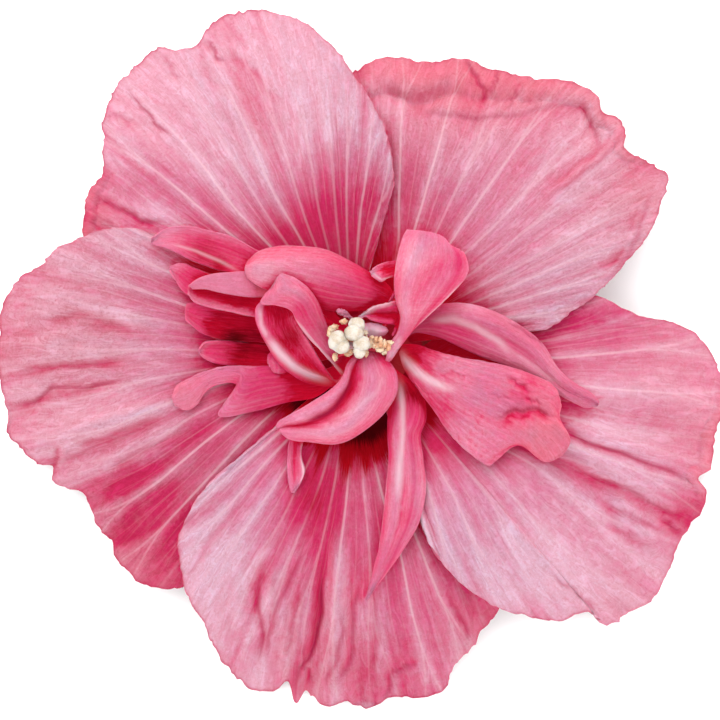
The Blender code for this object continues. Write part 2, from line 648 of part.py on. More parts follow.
def build_stigma(finish):
    """The top of the style, its five branches and their round stigma lobes."""
    centre = plan(COLUMN_UNITS)
    stem_points = [(*centre, z * MM) for z in (STYLE_FOOT, (STYLE_FOOT + STYLE_TOP) / 2, STYLE_TOP)]
    stem = rod("style_and_stigma", stem_points, STYLE_RADIUS * MM, finish, sides=8)
    root = np.array(stem_points[-1]) - np.array([0, 0, STYLE_RADIUS * MM])
    pieces = []
    for k, (x, y, z, radius) in enumerate(STIGMA_LOBES):
        lobe = np.array([*plan((x, y)), z * MM])
        bend = root + (lobe - root) * np.array([0.45, 0.45, 0.6])
        pieces.append(rod(f"branch_{k}", [root, bend, lobe], BRANCH_RADIUS * MM, finish, sides=6))
        pieces.append(ball(f"lobe_{k}", lobe, radius * MM, finish, segments=9))
    return fuse(stem, pieces)


def main():
    clear_scene()
    build_petals_and_petaloids(material("petal_pink", PINK, 0.55), material("petaloid_pink", PALE_PINK, 0.55))
    green = material("calyx_green", GREEN, 0.6)
    build_calyx(green)
    build_stalk(green)
    build_column(material("stamen_yellow", YELLOW, 0.7))
    build_stigma(material("stigma_cream", CREAM, 0.7))


main()
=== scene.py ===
# %% [markdown]
# # A rose of sharon flower, semi-double
# One picked flower lies face up on the tips of its petals. Five broad outer petals overlap in a ring, and inside
# them stands a tuft of petaloids: stamens that grew into small petals. We dress a plain solid model of it with thin,
# veined, crinkled blades. The solid model is loaded first, as a frame that never moves.

# %% Load the frame
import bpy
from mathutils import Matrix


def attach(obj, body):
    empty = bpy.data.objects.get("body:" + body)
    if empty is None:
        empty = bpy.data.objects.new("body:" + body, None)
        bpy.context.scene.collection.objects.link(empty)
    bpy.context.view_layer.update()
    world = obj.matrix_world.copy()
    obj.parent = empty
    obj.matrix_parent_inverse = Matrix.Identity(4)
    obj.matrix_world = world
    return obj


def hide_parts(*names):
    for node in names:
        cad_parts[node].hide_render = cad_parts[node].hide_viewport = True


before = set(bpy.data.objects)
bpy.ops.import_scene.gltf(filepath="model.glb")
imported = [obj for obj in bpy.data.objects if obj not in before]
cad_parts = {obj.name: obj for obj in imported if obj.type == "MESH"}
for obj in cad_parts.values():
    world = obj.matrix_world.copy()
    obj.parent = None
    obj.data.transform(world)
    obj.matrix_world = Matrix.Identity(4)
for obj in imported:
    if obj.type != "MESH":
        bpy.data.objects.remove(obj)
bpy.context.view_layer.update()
print("nodes in the frame:", len(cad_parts))

# %% Tools of the lesson
import math

import bmesh
import bpy
import numpy as np
from mathutils import Vector, noise

# %% [markdown]
# ## Sizes
# The flower was measured on a picture 720 units wide, and one unit is 0.12 mm. Every outline below is a list of
# places in those units, x to the right and y down, and `plan` turns them into metres about the frame's origin.

# %% Named sizes
FLOWER_WIDTH = 0.0864
PICTURE_UNITS = 720
UNIT = FLOWER_WIDTH / PICTURE_UNITS
ORIGIN_UNITS = (360.4, 358.7)
AXIS_UNITS = (370, 352)
COLUMN_UNITS = (366, 348)
MM = 0.001
PETAL_THICKNESS = 0.00032
PETALOID_THICKNESS = 0.00028
print("one picture unit is", round(UNIT / MM, 3), "mm")

# %% [markdown]
# ## Outer petals
# A hibiscus petal is narrow at its claw and fans out to a wide, wavy rim. The easiest good model is a ruled sheet:
# straight lines run from each point of the claw's arc to a point of the rim. Heights then come from one arched
# form, highest about 20 mm from the axis and falling both ways, plus waves and pleats of each petal's own.
# `claw` is the claw's arc about the axis in degrees, `rim` goes from the side that lies on top to the other side,
# `swell` raises places along the rim, and a pleat is place, half-width, height in mm and where it starts.

# %% The outer petals, from the frame's own measures
CROWN_HEIGHT = 19.6
CROWN_RADIUS = 20.0
FALL_PER_CENTIMETRE = 3.0
CLAW_RADIUS = 5.0
CLAW_FOOT = 5.85
CLAW_SHARE = 0.2
REACH_POWER = 1.4
OVERLAP_TILT = 1.35
TILT_SHARE = 0.28
BEND_FROM = 14.0
RIM_RADIUS = 42.0
RESTING_HEIGHT = 0.22
SETTLING_STEPS = 6
OUTER_PETALS = {
    "petal_upper_left": {
        "claw": (112, 146),
        "rim": (
            (394, 185), (391, 155), (380, 118), (358, 82), (335, 50), (302, 22), (268, 11), (232, 12),
            (206, 28), (197, 46), (178, 50), (158, 46), (138, 60), (118, 85), (105, 115), (103, 150),
            (104, 176), (92, 188), (86, 215), (84, 238), (96, 262), (122, 276),
        ),
        "swell": (
            (-1, 0.6), (-0.55, 1.2), (-0.2, 0.0), (0, 1.6), (0.25, -0.5), (0.5, 1.2), (0.75, -0.6), (1, -1.2),
        ),
        "pleats": (
            (0.05, 0.035, 1.0, 0.7), (-0.12, 0.05, -0.7, 0.6), (0.33, 0.05, -0.9, 0.62),
            (0.42, 0.05, 0.7, 0.6),
        ),
    },
    "petal_upper_right": {
        "claw": (19, 77),
        "rim": (
            (545, 330), (592, 296), (624, 265), (646, 236), (660, 206), (668, 178), (650, 162), (628, 150),
            (622, 122), (604, 112), (599, 95), (580, 84), (545, 79), (515, 74), (484, 66), (460, 58),
            (430, 63), (398, 58), (372, 62), (350, 76), (331, 100), (322, 140), (328, 190),
        ),
        "swell": (
            (-1, 2.0), (-0.7, 2.8), (-0.4, 0.8), (-0.15, -1.0), (0.15, -2.0), (0.45, -2.4), (0.75, -1.6),
            (1, -1.2),
        ),
        "pleats": (
            (-0.27, 0.05, 1.1, 0.6), (-0.16, 0.04, -1.0, 0.6), (0.28, 0.04, -1.3, 0.78),
            (0.34, 0.04, 0.8, 0.78), (0.3, 0.4, -1.8, 0.84),
        ),
    },
    "petal_right": {
        "claw": (-71, -9),
        "rim": (
            (420, 500), (424, 530), (440, 560), (462, 583), (486, 600), (515, 612), (560, 619), (590, 612),
            (604, 624), (628, 615), (652, 600), (668, 574), (680, 542), (698, 514), (706, 492), (697, 477),
            (710, 470), (714, 440), (722, 408), (721, 375), (706, 344), (675, 324), (640, 316), (605, 300),
            (560, 284), (520, 284), (498, 294),
        ),
        "swell": ((-1, 1.0), (-0.6, 1.6), (-0.2, -0.4), (0.1, 1.0), (0.4, -0.6), (0.7, 0.8), (1, -1.2)),
        "pleats": (
            (0.18, 0.05, -1.3, 0.5), (0.27, 0.05, 0.8, 0.5), (0.05, 0.05, 0.6, 0.55),
            (-0.18, 0.04, -0.8, 0.7), (-0.1, 0.05, 0.6, 0.6),
        ),
    },
    "petal_bottom": {
        "claw": (220, 274),
        "rim": (
            (215, 478), (194, 504), (180, 538), (181, 560), (184, 582), (198, 610), (214, 645), (234, 674),
            (258, 690), (276, 688), (287, 683), (297, 702), (304, 693), (325, 708), (346, 703), (370, 710),
            (392, 698), (420, 697), (446, 690), (453, 668), (474, 645), (486, 626), (498, 608), (500, 575),
            (480, 530), (452, 500),
        ),
        "swell": ((-1, 1.4), (-0.6, 2.0), (-0.25, 0.4), (0.1, -0.6), (0.5, -1.4), (0.8, -2.0), (1, -1.8)),
        "pleats": (
            (-0.22, 0.035, -1.1, 0.5), (-0.14, 0.03, 1.0, 0.5), (-0.06, 0.03, -1.3, 0.5),
            (0.02, 0.03, 1.2, 0.55), (0.1, 0.035, -1.0, 0.5), (0.36, 0.05, 0.6, 0.5),
        ),
    },
    "petal_left": {
        "claw": (157, 209),
        "rim": (
            (165, 236), (125, 229), (100, 230), (82, 238), (55, 250), (42, 264), (20, 277), (6, 292),
            (-1, 320), (0, 350), (-1, 385), (8, 415), (7, 432), (22, 449), (38, 464), (54, 466),
            (54, 480), (70, 488), (88, 497), (95, 520), (112, 540), (120, 562), (142, 584), (165, 588),
            (186, 586), (205, 566), (228, 530), (246, 498),
        ),
        "swell": ((-1, 1.0), (-0.6, 1.8), (-0.25, -0.4), (0.1, 1.0), (0.4, -0.8), (0.7, -1.2), (1, -1.8)),
        "pleats": (
            (-0.28, 0.06, 0.9, 0.35), (-0.12, 0.05, -0.8, 0.4), (0.0, 0.05, 0.9, 0.35),
            (0.13, 0.05, -1.0, 0.4), (0.24, 0.05, 0.7, 0.5), (0.45, 0.06, -0.7, 0.5),
        ),
    },
}
print("outer petals:", len(OUTER_PETALS))


# %% [markdown]
# The helpers below read a table as a smooth curve, step softly, and make a soft ridge. They are the same as in the
# frame's own source, so that the thin blades lie exactly where the thick ones do.

# %% Curves and steps
def plan(units):
    """Picture units as metres from the origin, x to the right and y up the picture."""
    units = np.asarray(units, float)
    return np.stack([units[..., 0] - ORIGIN_UNITS[0], ORIGIN_UNITS[1] - units[..., 1]], -1) * UNIT


def spline_weights(knots, at):
    """How much each knot counts at each reading place of a smooth curve through them."""
    rows = np.eye(len(knots))
    slopes = np.gradient(rows, knots, axis=0)
    i = np.clip(np.searchsorted(knots, at, side="right") - 1, 0, len(knots) - 2)
    width = (knots[i + 1] - knots[i])[:, None]
    t = (at - knots[i])[:, None] / width
    ends = rows[i] * (1 + 2 * t) * (1 - t) ** 2 + rows[i + 1] * t * t * (3 - 2 * t)
    return ends + slopes[i] * width * t * (1 - t) ** 2 + slopes[i + 1] * width * t * t * (t - 1)


def through(rows, at):
    """A smooth curve through rows of numbers, read at fractions of its length in plan."""
    rows = np.asarray(rows, float)
    steps = np.hypot(*np.diff(rows[:, :2], axis=0).T)
    knots = np.concatenate([[0], np.cumsum(steps)]) / steps.sum()
    return spline_weights(knots, at) @ rows


def smooth(x):
    """0 below 0, 1 above 1, and a soft step between."""
    x = np.clip(x, 0, 1)
    return x * x * (3 - 2 * x)


def bump(u, at, half):
    """A soft ridge of height 1 at a place."""
    return np.exp(-(((u - at) / half) ** 2))


# %% The arched form of an outer petal
def petal_form(spec, u, v, rim):
    """Places in metres and heights in mm over an outer petal, and how far out each place is from the crown."""
    axis = plan(AXIS_UNITS)
    angle = np.radians(np.interp(u, (-1, 1), spec["claw"]))
    claw = axis + CLAW_RADIUS * MM * np.stack([np.cos(angle), np.sin(angle)], -1)
    place = claw + (rim - claw) * (v**REACH_POWER)[..., None]
    radius = np.linalg.norm(place - axis, axis=2) / MM
    height = CROWN_HEIGHT - FALL_PER_CENTIMETRE * ((radius - CROWN_RADIUS) / 10) ** 2
    height = height - CLAW_FOOT * np.clip(1 - v / CLAW_SHARE, 0, 1) ** 2
    height = height - OVERLAP_TILT * u * smooth(v / TILT_SHARE)
    outward = smooth((radius - BEND_FROM) / (RIM_RADIUS - BEND_FROM))
    places, swell = zip(*spec["swell"])
    height = height + np.interp(u, places, swell) * outward
    for at, half, rise, start in spec["pleats"]:
        height = height + rise * bump(u, at, half) * smooth((v - start) / (1 - start))
    return place, height, outward


def frame_petal(spec):
    """The coarse sheet that the frame's own petal was made from, and how far its rim was bent down."""
    u = np.linspace(-1, 1, 29)
    v = np.linspace(0, 1, 11)[:, None]
    place, height, outward = petal_form(spec, u, v, through(plan(spec["rim"]), (u + 1) / 2))
    bent = 0.0
    for _ in range(SETTLING_STEPS):
        more = height.min() - RESTING_HEIGHT
        height = height - more * outward
        bent += more
    return np.concatenate([place, height[..., None] * MM], -1), bent


print("rim bent down by", [round(frame_petal(spec)[1], 2) for spec in OUTER_PETALS.values()], "mm")

# %% [markdown]
# ## Detail of a living petal
# Seen close, a petal is never smooth. Its tissue puckers between the veins, its rim is scalloped and crinkled, and
# sharp creases run in from the rim. Seeded noise gives the irregular part, so that each run gives the same flower.

# %% Seeded noise
NOISE_CELLS = 64


def soft_noise(x, y, seed):
    """Smooth noise from -1 to 1, about one lump to a unit."""
    table = np.random.default_rng(seed).uniform(-1, 1, (NOISE_CELLS, NOISE_CELLS))
    x, y = np.broadcast_arrays(np.asarray(x, float), np.asarray(y, float))
    i, j = np.floor(x).astype(int), np.floor(y).astype(int)
    a, b = smooth(x - i), smooth(y - j)
    i, j, i1, j1 = (step % NOISE_CELLS for step in (i, j, i + 1, j + 1))
    return (table[i, j] * (1 - a) + table[i1, j] * a) * (1 - b) + (table[i, j1] * (1 - a) + table[i1, j1] * a) * b


def beside(place, path):
    """Signed distance in mm from places to a path of picture units, and the share of the path passed there."""
    path = plan(path)
    steps = np.diff(path, axis=0)
    lengths = np.linalg.norm(steps, axis=1)
    passed = np.concatenate([[0], np.cumsum(lengths)]) / lengths.sum()
    nearest = np.full(place.shape[:-1], np.inf)
    signed, share = np.zeros_like(nearest), np.zeros_like(nearest)
    for k, step in enumerate(steps):
        away = place - path[k]
        along = np.clip(away @ step / lengths[k] ** 2, 0, 1)
        off = away - along[..., None] * step
        distance = np.linalg.norm(off, axis=-1)
        closer = distance < nearest
        side = np.sign(step[0] * away[..., 1] - step[1] * away[..., 0])
        nearest = np.where(closer, distance, nearest)
        signed = np.where(closer, side * distance / MM, signed)
        share = np.where(closer, passed[k] + along * (passed[k + 1] - passed[k]), share)
    return signed, share


def creased(place, creases, seed):
    """The height in mm that drawn creases give each place, and the painted shade that darkens them."""
    height, dark = np.zeros(place.shape[:-1]), np.zeros(place.shape[:-1])
    for path, rise, half, step, depth in creases:
        away, passed = beside(place, path)
        away = away + 0.25 * soft_noise(passed * 9, 0, seed)
        taper = smooth(passed / 0.3 + 0.15) * smooth((1 - passed) / 0.3 + 0.15)
        height = height + rise * bump(away, 0, half) * taper
        height = height + step * np.tanh(away / half) * bump(away, 0, 3 * half) * taper
        # Painted shade: the petal is darkened along each crease, where shade falls in the fold.
        dark = np.maximum(dark, depth * bump(away, 0.2, 0.6 * half) * taper)
    return height, dark


# %% [markdown]
# Creases are drawn on the picture: a path, the height of the fold in mm (negative for a valley), its
# half-width in mm, a step between its two sides in mm, and how far painted shade darkens the petal along it.

# %% Creases of each petal
CREASES = {
    "petal_upper_left": (
        (((128, 90), (135, 101), (147, 115), (158, 126), (172, 140)), -0.45, 0.35, 0.25, 0.7),
        (((205, 38), (213, 53), (223, 67)), -0.5, 0.5, 0.3, 0.6),
        (((159, 50), (170, 69), (182, 84)), -0.35, 0.5, 0.2, 0.4),
        (((197, 46), (205, 70), (228, 96)), -0.3, 0.6, 0.2, 0.2),
        (((230, 46), (262, 69), (292, 106)), 0.35, 0.7, 0.2, 0.0),
        (((90, 200), (108, 204), (138, 220), (170, 228)), -0.4, 0.6, 0.2, 0.4),
        (((88, 216), (104, 222), (128, 236)), 0.3, 0.5, 0.3, 0.5),
        (((106, 112), (120, 120), (138, 124)), -0.25, 0.5, 0.1, 0.3),
        (((300, 24), (322, 46), (350, 80)), 0.3, 0.5, 0.1, 0.1),
    ),
    "petal_upper_right": (
        (((410, 112), (440, 117), (459, 118), (479, 120), (507, 118), (530, 114), (553, 109), (580, 108),
          (600, 116)), -0.3, 0.5, 0.35, 0.35),
        (((461, 57), (475, 76), (484, 92), (482, 110)), -0.6, 0.4, 0.5, 0.6),
        (((496, 66), (495, 80), (484, 94)), 0.5, 0.4, 0.3, 0.6),
        (((520, 76), (514, 96), (500, 116)), -0.35, 0.4, 0.2, 0.4),
        (((546, 80), (538, 100), (520, 118)), 0.35, 0.4, 0.2, 0.2),
        (((580, 98), (590, 122), (598, 150)), -0.5, 0.5, 0.4, 0.5),
        (((600, 100), (602, 120), (610, 140)), 0.4, 0.5, 0.2, 0.3),
        (((626, 127), (604, 156), (580, 172), (544, 197)), 0.5, 0.5, 0.4, 0.5),
        (((648, 188), (642, 216), (630, 247), (602, 284)), 0.35, 0.5, 0.5, 0.5),
        (((378, 88), (408, 98), (436, 94), (462, 88)), -0.3, 0.9, 0.3, 0.3),
    ),
    "petal_right": (
        (((556, 428), (585, 442), (624, 456), (668, 470), (700, 486)), -0.5, 0.5, 0.4, 0.6),
        (((520, 430), (560, 452), (600, 470), (624, 484), (654, 503), (684, 516)), 0.5, 0.6, 0.35, 0.3),
        (((570, 470), (612, 482), (640, 496), (670, 512), (694, 510)), -0.55, 0.4, 0.35, 0.6),
        (((596, 500), (630, 516), (664, 532)), -0.4, 0.4, 0.3, 0.4),
        (((548, 572), (573, 592), (600, 610)), -0.4, 0.5, 0.3, 0.4),
        (((606, 520), (632, 540), (656, 546)), -0.3, 0.5, 0.2, 0.2),
        (((560, 440), (600, 478), (640, 530), (662, 560)), 0.25, 0.9, 0.2, 0.1),
        (((658, 516), (672, 528), (682, 532)), -0.5, 0.4, 0.3, 0.6),
        (((500, 520), (540, 560), (590, 604)), 0.25, 0.8, 0.2, 0.0),
        (((470, 380), (540, 392), (620, 388), (700, 402)), 0.2, 0.9, 0.2, 0.0),
    ),
    "petal_bottom": (
        (((262, 560), (258, 603), (262, 624), (259, 649), (255, 672)), -0.45, 0.5, 0.3, 0.6),
        (((298, 540), (296, 567), (278, 603), (266, 635), (268, 668)), -0.5, 0.5, 0.4, 0.6),
        (((318, 560), (322, 590), (322, 613), (315, 642), (298, 668), (295, 699)), -0.7, 0.45, 0.5, 0.8),
        (((356, 580), (354, 608), (351, 647), (344, 668), (331, 684)), -0.5, 0.5, 0.4, 0.5),
        (((284, 600), (286, 632), (280, 662), (286, 684)), 0.5, 0.5, 0.3, 0.2),
        (((330, 520), (336, 570), (338, 620), (328, 660), (310, 690)), 0.6, 0.6, 0.3, 0.1),
        (((276, 560), (272, 600), (276, 640)), 0.4, 0.5, 0.3, 0.3),
        (((308, 560), (304, 600), (296, 640), (284, 676)), 0.5, 0.45, 0.3, 0.3),
        (((340, 600), (342, 630), (336, 656), (322, 690)), -0.5, 0.4, 0.3, 0.5),
        (((372, 560), (376, 620), (372, 680)), -0.3, 0.5, 0.2, 0.25),
        (((445, 590), (461, 619), (468, 645)), -0.4, 0.5, 0.2, 0.5),
        (((420, 660), (392, 672), (383, 704)), -0.4, 0.4, 0.3, 0.5),
        (((240, 570), (236, 610), (240, 640)), 0.3, 0.7, 0.2, 0.0),
        (((302, 640), (304, 664), (312, 684)), -0.35, 0.35, 0.2, 0.4),
    ),
    "petal_left": (
        (((0, 404), (34, 401), (53, 388), (92, 389), (128, 381)), -0.4, 0.4, 0.4, 0.5),
        (((62, 444), (57, 456), (50, 468)), -0.5, 0.4, 0.3, 0.6),
        (((24, 300), (60, 296), (110, 312), (170, 338)), 0.5, 1.0, 0.3, 0.0),
        (((34, 320), (80, 314), (140, 334)), -0.4, 0.6, 0.3, 0.25),
        (((20, 344), (80, 338), (150, 346)), 0.5, 0.9, 0.3, 0.0),
        (((66, 430), (100, 424), (160, 408)), 0.5, 0.8, 0.3, 0.0),
        (((70, 442), (110, 436), (170, 416)), -0.4, 0.5, 0.3, 0.3),
        (((14, 366), (70, 366), (130, 362)), -0.4, 0.6, 0.3, 0.3),
        (((8, 384), (60, 374), (120, 376)), 0.35, 0.6, 0.2, 0.0),
        (((100, 470), (140, 452), (190, 430)), -0.4, 0.6, 0.3, 0.3),
        (((90, 486), (130, 474), (180, 450)), 0.35, 0.7, 0.3, 0.0),
        (((96, 510), (130, 500), (180, 470)), 0.35, 0.7, 0.2, 0.0),
        (((112, 540), (140, 536), (170, 520)), -0.3, 0.6, 0.2, 0.3),
    ),
}
RIM_ROLLS = {
    "petal_upper_right": (
        (-0.4, 0), (-0.3, 1.2), (-0.16, 2.0), (0.0, 2.6), (0.14, 3.0), (0.3, 4.0), (0.42, 4.6), (0.56, 4.3),
        (0.68, 3.6), (0.78, 2.2), (0.88, 0.8), (0.95, 0),
    ),
    "petal_upper_left": ((-1, 0), (0.5, 0), (0.66, 1.2), (0.8, 1.6), (0.92, 1.2), (1, 0)),
    "petal_right": ((-1, 0), (-0.05, 0), (0.05, 1.4), (0.2, 1.8), (0.3, 1.0), (0.4, 0)),
}
print("creases drawn:", sum(len(lines) for lines in CREASES.values()))

# %% [markdown]
# A fine outer petal starts as the frame's form at about 0.3 mm a step. Where its rim is rolled, a soft bulge follows
# the rim with a small valley inside it: a width in mm for places along the rim says where.

# %% A fine outer petal
PETAL_COLUMNS = 244
PETAL_ROWS = 108
VEINS_PER_PETAL = 13
FLOOR_GAP = 0.12
CLAW_SPREAD = 5


def petal_sheet(name, spec):
    """Everything that a fine outer petal needs: its points, and the numbers that its finish reads."""
    seed = list(OUTER_PETALS).index(name) * 100
    u = np.linspace(-1, 1, PETAL_COLUMNS + 1)
    share = np.linspace(0, 1, PETAL_ROWS + 1)[:, None]
    axis = plan(AXIS_UNITS)
    bent = frame_petal(spec)[1]
    spec = dict(spec, claw=(spec["claw"][0] - CLAW_SPREAD, spec["claw"][1] + CLAW_SPREAD))
    rim = through(plan(spec["rim"]), (u + 1) / 2)
    out = rim - axis
    out /= np.linalg.norm(out, axis=1)[:, None]
    ragged = 0.3 + 0.7 * smooth(0.5 + soft_noise(u * 6, 0, seed + 12))
    scallop = 0.2 * soft_noise(u * 22, 0, seed + 1) + 0.12 * soft_noise(u * 90, 0, seed + 13)
    scallop = scallop + 0.42 * ragged * (0.35 - np.abs(soft_noise(u * 42, 0, seed + 2)))
    rim = rim + out * (scallop * MM)[:, None]
    angle = np.radians(np.interp(u, (-1, 1), spec["claw"]))
    claw = axis + CLAW_RADIUS * MM * np.stack([np.cos(angle), np.sin(angle)], -1)
    length = np.linalg.norm(rim - claw, axis=1) / MM
    v = share ** (1 / REACH_POWER)
    place, height, outward = petal_form(spec, u, v, rim)
    height = height - bent * outward
    inset = (1 - share) * length
    width = np.interp(u, *zip(*RIM_ROLLS.get(name, ((-1, 0), (1, 0)))))
    width = width * (1 + 0.12 * soft_noise(u * 9, 0, seed + 10))
    band = inset / np.maximum(width, 0.1)
    height = height + width * (0.34 * bump(band, 0.5, 0.42) - 0.17 * bump(band, 1.12, 0.16))
    formed = height
    phase = VEINS_PER_PETAL * (u / 2 + 0.06 * u * (1 - v)) + 0.22 * soft_noise(u * 3, v * 2.5, seed + 3)
    phase = phase + 0.1 * soft_noise(u * 9, v * 5, seed + 4)
    swing = 0.6 + 0.4 * soft_noise(np.round(phase) * 7.3, 0, seed + 5)
    height = height + 0.18 * swing * np.cos(2 * math.pi * phase) * smooth((v - 0.25) / 0.5)
    height = height + 0.5 * soft_noise(u * 7, v * 1.1, seed + 14) * smooth((v - 0.3) / 0.4)
    height = height + 0.28 * soft_noise(u * 5 + 20, v * 2.6, seed + 6) * smooth((v - 0.35) / 0.5)
    near_rim = smooth((v - 0.72) / 0.28)
    height = height + 0.34 * soft_noise(u * 17, v * 4, seed + 7) * near_rim
    height = height + 0.24 * (0.5 - np.abs(soft_noise(u * 34, v * 7, seed + 8))) * near_rim
    height = height + 0.07 * soft_noise(u * 70, v * 26, seed + 9) * smooth((v - 0.4) / 0.4)
    fold, crease = creased(place, CREASES[name], seed + 11)
    height = height + fold
    # A thin darker line along the rim joins the painted crease shade in one mark.
    rim_line = np.exp(-((inset / 0.24) ** 2)) * smooth(0.55 + soft_noise(u * 16, 0, seed + 15))
    crease = np.maximum(crease, 0.6 * rim_line)
    height = np.maximum(height, FLOOR_GAP + PETAL_THICKNESS / MM / 2)
    return {
        "points": np.concatenate([place, height[..., None] * MM], -1), "along": share * np.ones_like(height),
        "phase": phase, "crease": crease, "inset": inset, "detail": height - formed,
        "rolled": smooth((1.1 - band) / 0.25) * smooth(width / 1.5),
    }


# %% [markdown]
# The finish draws its veins as thin lines of a real width, so each point also carries how many millimetres lie
# between two veins there. It is measured on the sheet itself.

# %% Spacing of the veins
def vein_spacing(points, phase):
    """Millimetres between neighbouring veins at each point of a sheet."""
    over, along = np.gradient(points, axis=1), np.gradient(points, axis=0)
    over_phase, along_phase = np.gradient(phase, axis=1), np.gradient(phase, axis=0)
    area = np.linalg.norm(np.cross(over, along), axis=2)
    slope = np.linalg.norm(along * over_phase[..., None] - over * along_phase[..., None], axis=2)
    return area / np.maximum(slope, 1e-9) / MM


# %% [markdown]
# The sheet becomes an object through a bmesh grid whose points are moved, and the Solidify modifier gives it its
# thickness. The modifier keeps the first points for one face and adds the same number for the other, so after it is
# applied each point can be told whether it is on the petal's underside.

# %% From a sheet to a blade
BLADE_DATA = ("along", "phase", "spacing", "crease", "deep", "pale", "coral", "crimson", "dark", "white", "tone",
              "glow", "through")
# Painted light: `glow` lifts the red of the tissue, more on steep slopes and in hidden places, less in the open.
SLOPE_GLOW = 0.3
MOST_GLOW = 0.8
OPEN_GLOW = -0.22


def give(mesh, key, values):
    """Stores a number for each point of a mesh, for its finish to read."""
    mesh.attributes.new(key, "FLOAT", "POINT").data.foreach_set("value", np.ravel(values).astype(np.float32))


def blade(name, sheet, thickness, finish):
    """A closed blade of the given thickness round a sheet, with every number that its finish reads."""
    points = sheet["points"]
    rows, columns = points.shape[:2]
    shape = bmesh.new()
    bmesh.ops.create_grid(shape, x_segments=columns - 1, y_segments=rows - 1, size=0.5)
    mesh = bpy.data.meshes.new(name)
    shape.to_mesh(mesh)
    shape.free()
    mesh.vertices.foreach_set("co", points.reshape(-1))
    mesh.update()
    normal = np.cross(np.gradient(points, axis=1), np.gradient(points, axis=0))
    steep = 1 - np.abs(normal[..., 2]) / np.maximum(np.linalg.norm(normal, axis=2), 1e-15)
    # Painted light: steep slopes get a lifted red.
    glow = np.minimum(sheet.get("glow", 0.0) + SLOPE_GLOW * steep, MOST_GLOW) + OPEN_GLOW
    sheet = dict(sheet, spacing=vein_spacing(points, sheet["phase"]), glow=glow)
    for key in BLADE_DATA:
        give(mesh, key, np.broadcast_to(sheet.get(key, 0.0), (rows, columns)))
    made = bpy.data.objects.new(name, mesh)
    bpy.context.scene.collection.objects.link(made)
    thicken = made.modifiers.new("thickness", "SOLIDIFY")
    thicken.thickness = thickness
    thicken.offset = 0
    graph = bpy.context.evaluated_depsgraph_get()
    solid = bpy.data.meshes.new_from_object(made.evaluated_get(graph))
    made.modifiers.clear()
    made.data = solid
    bpy.data.meshes.remove(mesh)
    solid.name = name
    second_face = np.arange(len(solid.vertices)) >= rows * columns
    give(solid, "under", second_face == (normal[..., 2].mean() > 0))
    solid.materials.append(finish)
    solid.shade_smooth()
    return made


# %% [markdown]
# ## Finishes
# Petals are living tissue: thin, matt, slightly velvety, and they let light through. One Principled shader gives
# that with a high roughness, a little sheen and some scattering of light below the surface. Colours are written in
# hex as they look in the picture. The lamps are strong, so that the pale floor turns pure white, and one function
# turns a colour into the linear share of that strong light which the surface must give back.

# %% Colour and node helpers
LAMPLIGHT = 2.15


def linear(code, light=LAMPLIGHT):
    """A hex colour as linear red, green and blue for a surface under the lamps, with full opacity."""
    parts = [int(code[i : i + 2], 16) / 255 for i in (1, 3, 5)]
    return (*[(c / 12.92 if c <= 0.04045 else ((c + 0.055) / 1.055) ** 2.4) / light for c in parts], 1)


def add(tree, kind, inputs=(), **settings):
    """Adds a node, fills its inputs in order with values or links, and gives its first live output."""
    node = tree.nodes.new("ShaderNode" + kind)
    for key, value in settings.items():
        setattr(node, key, value)
    live = [socket for socket in node.inputs if socket.enabled]
    for socket, value in zip(live, inputs):
        if isinstance(value, bpy.types.NodeSocket):
            tree.links.new(value, socket)
        elif value is not None:
            socket.default_value = value
    return next(socket for socket in node.outputs if socket.enabled)


def new_material(name):
    """A new material, its node tree and its shader."""
    made = bpy.data.materials.new(name)
    made.use_nodes = True
    return made, made.node_tree, made.node_tree.nodes["Principled BSDF"]


def finish_with(tree, shader, values):
    """Links or sets the shader's own sockets by name."""
    for key, value in values.items():
        if isinstance(value, bpy.types.NodeSocket):
            tree.links.new(value, shader.inputs[key])
        else:
            shader.inputs[key].default_value = value


print("pale petal pink is", [round(c, 3) for c in linear("#f3a6bf")])


# %% [markdown]
# ** Petal tissue.** Pale veins start in the crimson eye, run out to the rim and fork on the way. Between them lie
# fine lengthwise striations and crinkles, and the cells give a faint speckle. The point data of each blade says where
# its pink is deep, pale, coral, crimson or dark, where its red is lifted as painted light (`glow`), and where light
# comes through from behind (`through`), which a faint crimson emission stands for, also painted light. The crinkles'
# grooves are painted darker, a painted shade where the bump sinks. The veins are 0.2 to 0.3 mm wide on the flower,
# two or three pixels of the picture.

# %% Petal finish
SPECKLE_SIZE = 0.38 * MM
MOTTLE_SIZE = 1.4 * MM
CLOUD_SIZE = 11 * MM
# Main veins, those between them and the finest: how many to a main vein, width in mm, strength, where they start
VEIN_ORDERS = ((1, 0.12, 1.0, 0.0), (2, 0.08, 0.32, 0.3), (4, 0.06, 0.16, 0.45))
HALO_WIDTH = 1.1
RELIEF_HEIGHT = 0.12 * MM
THROUGH_GLOW = 0.38
THROUGH_COLOUR = "#b40a28"


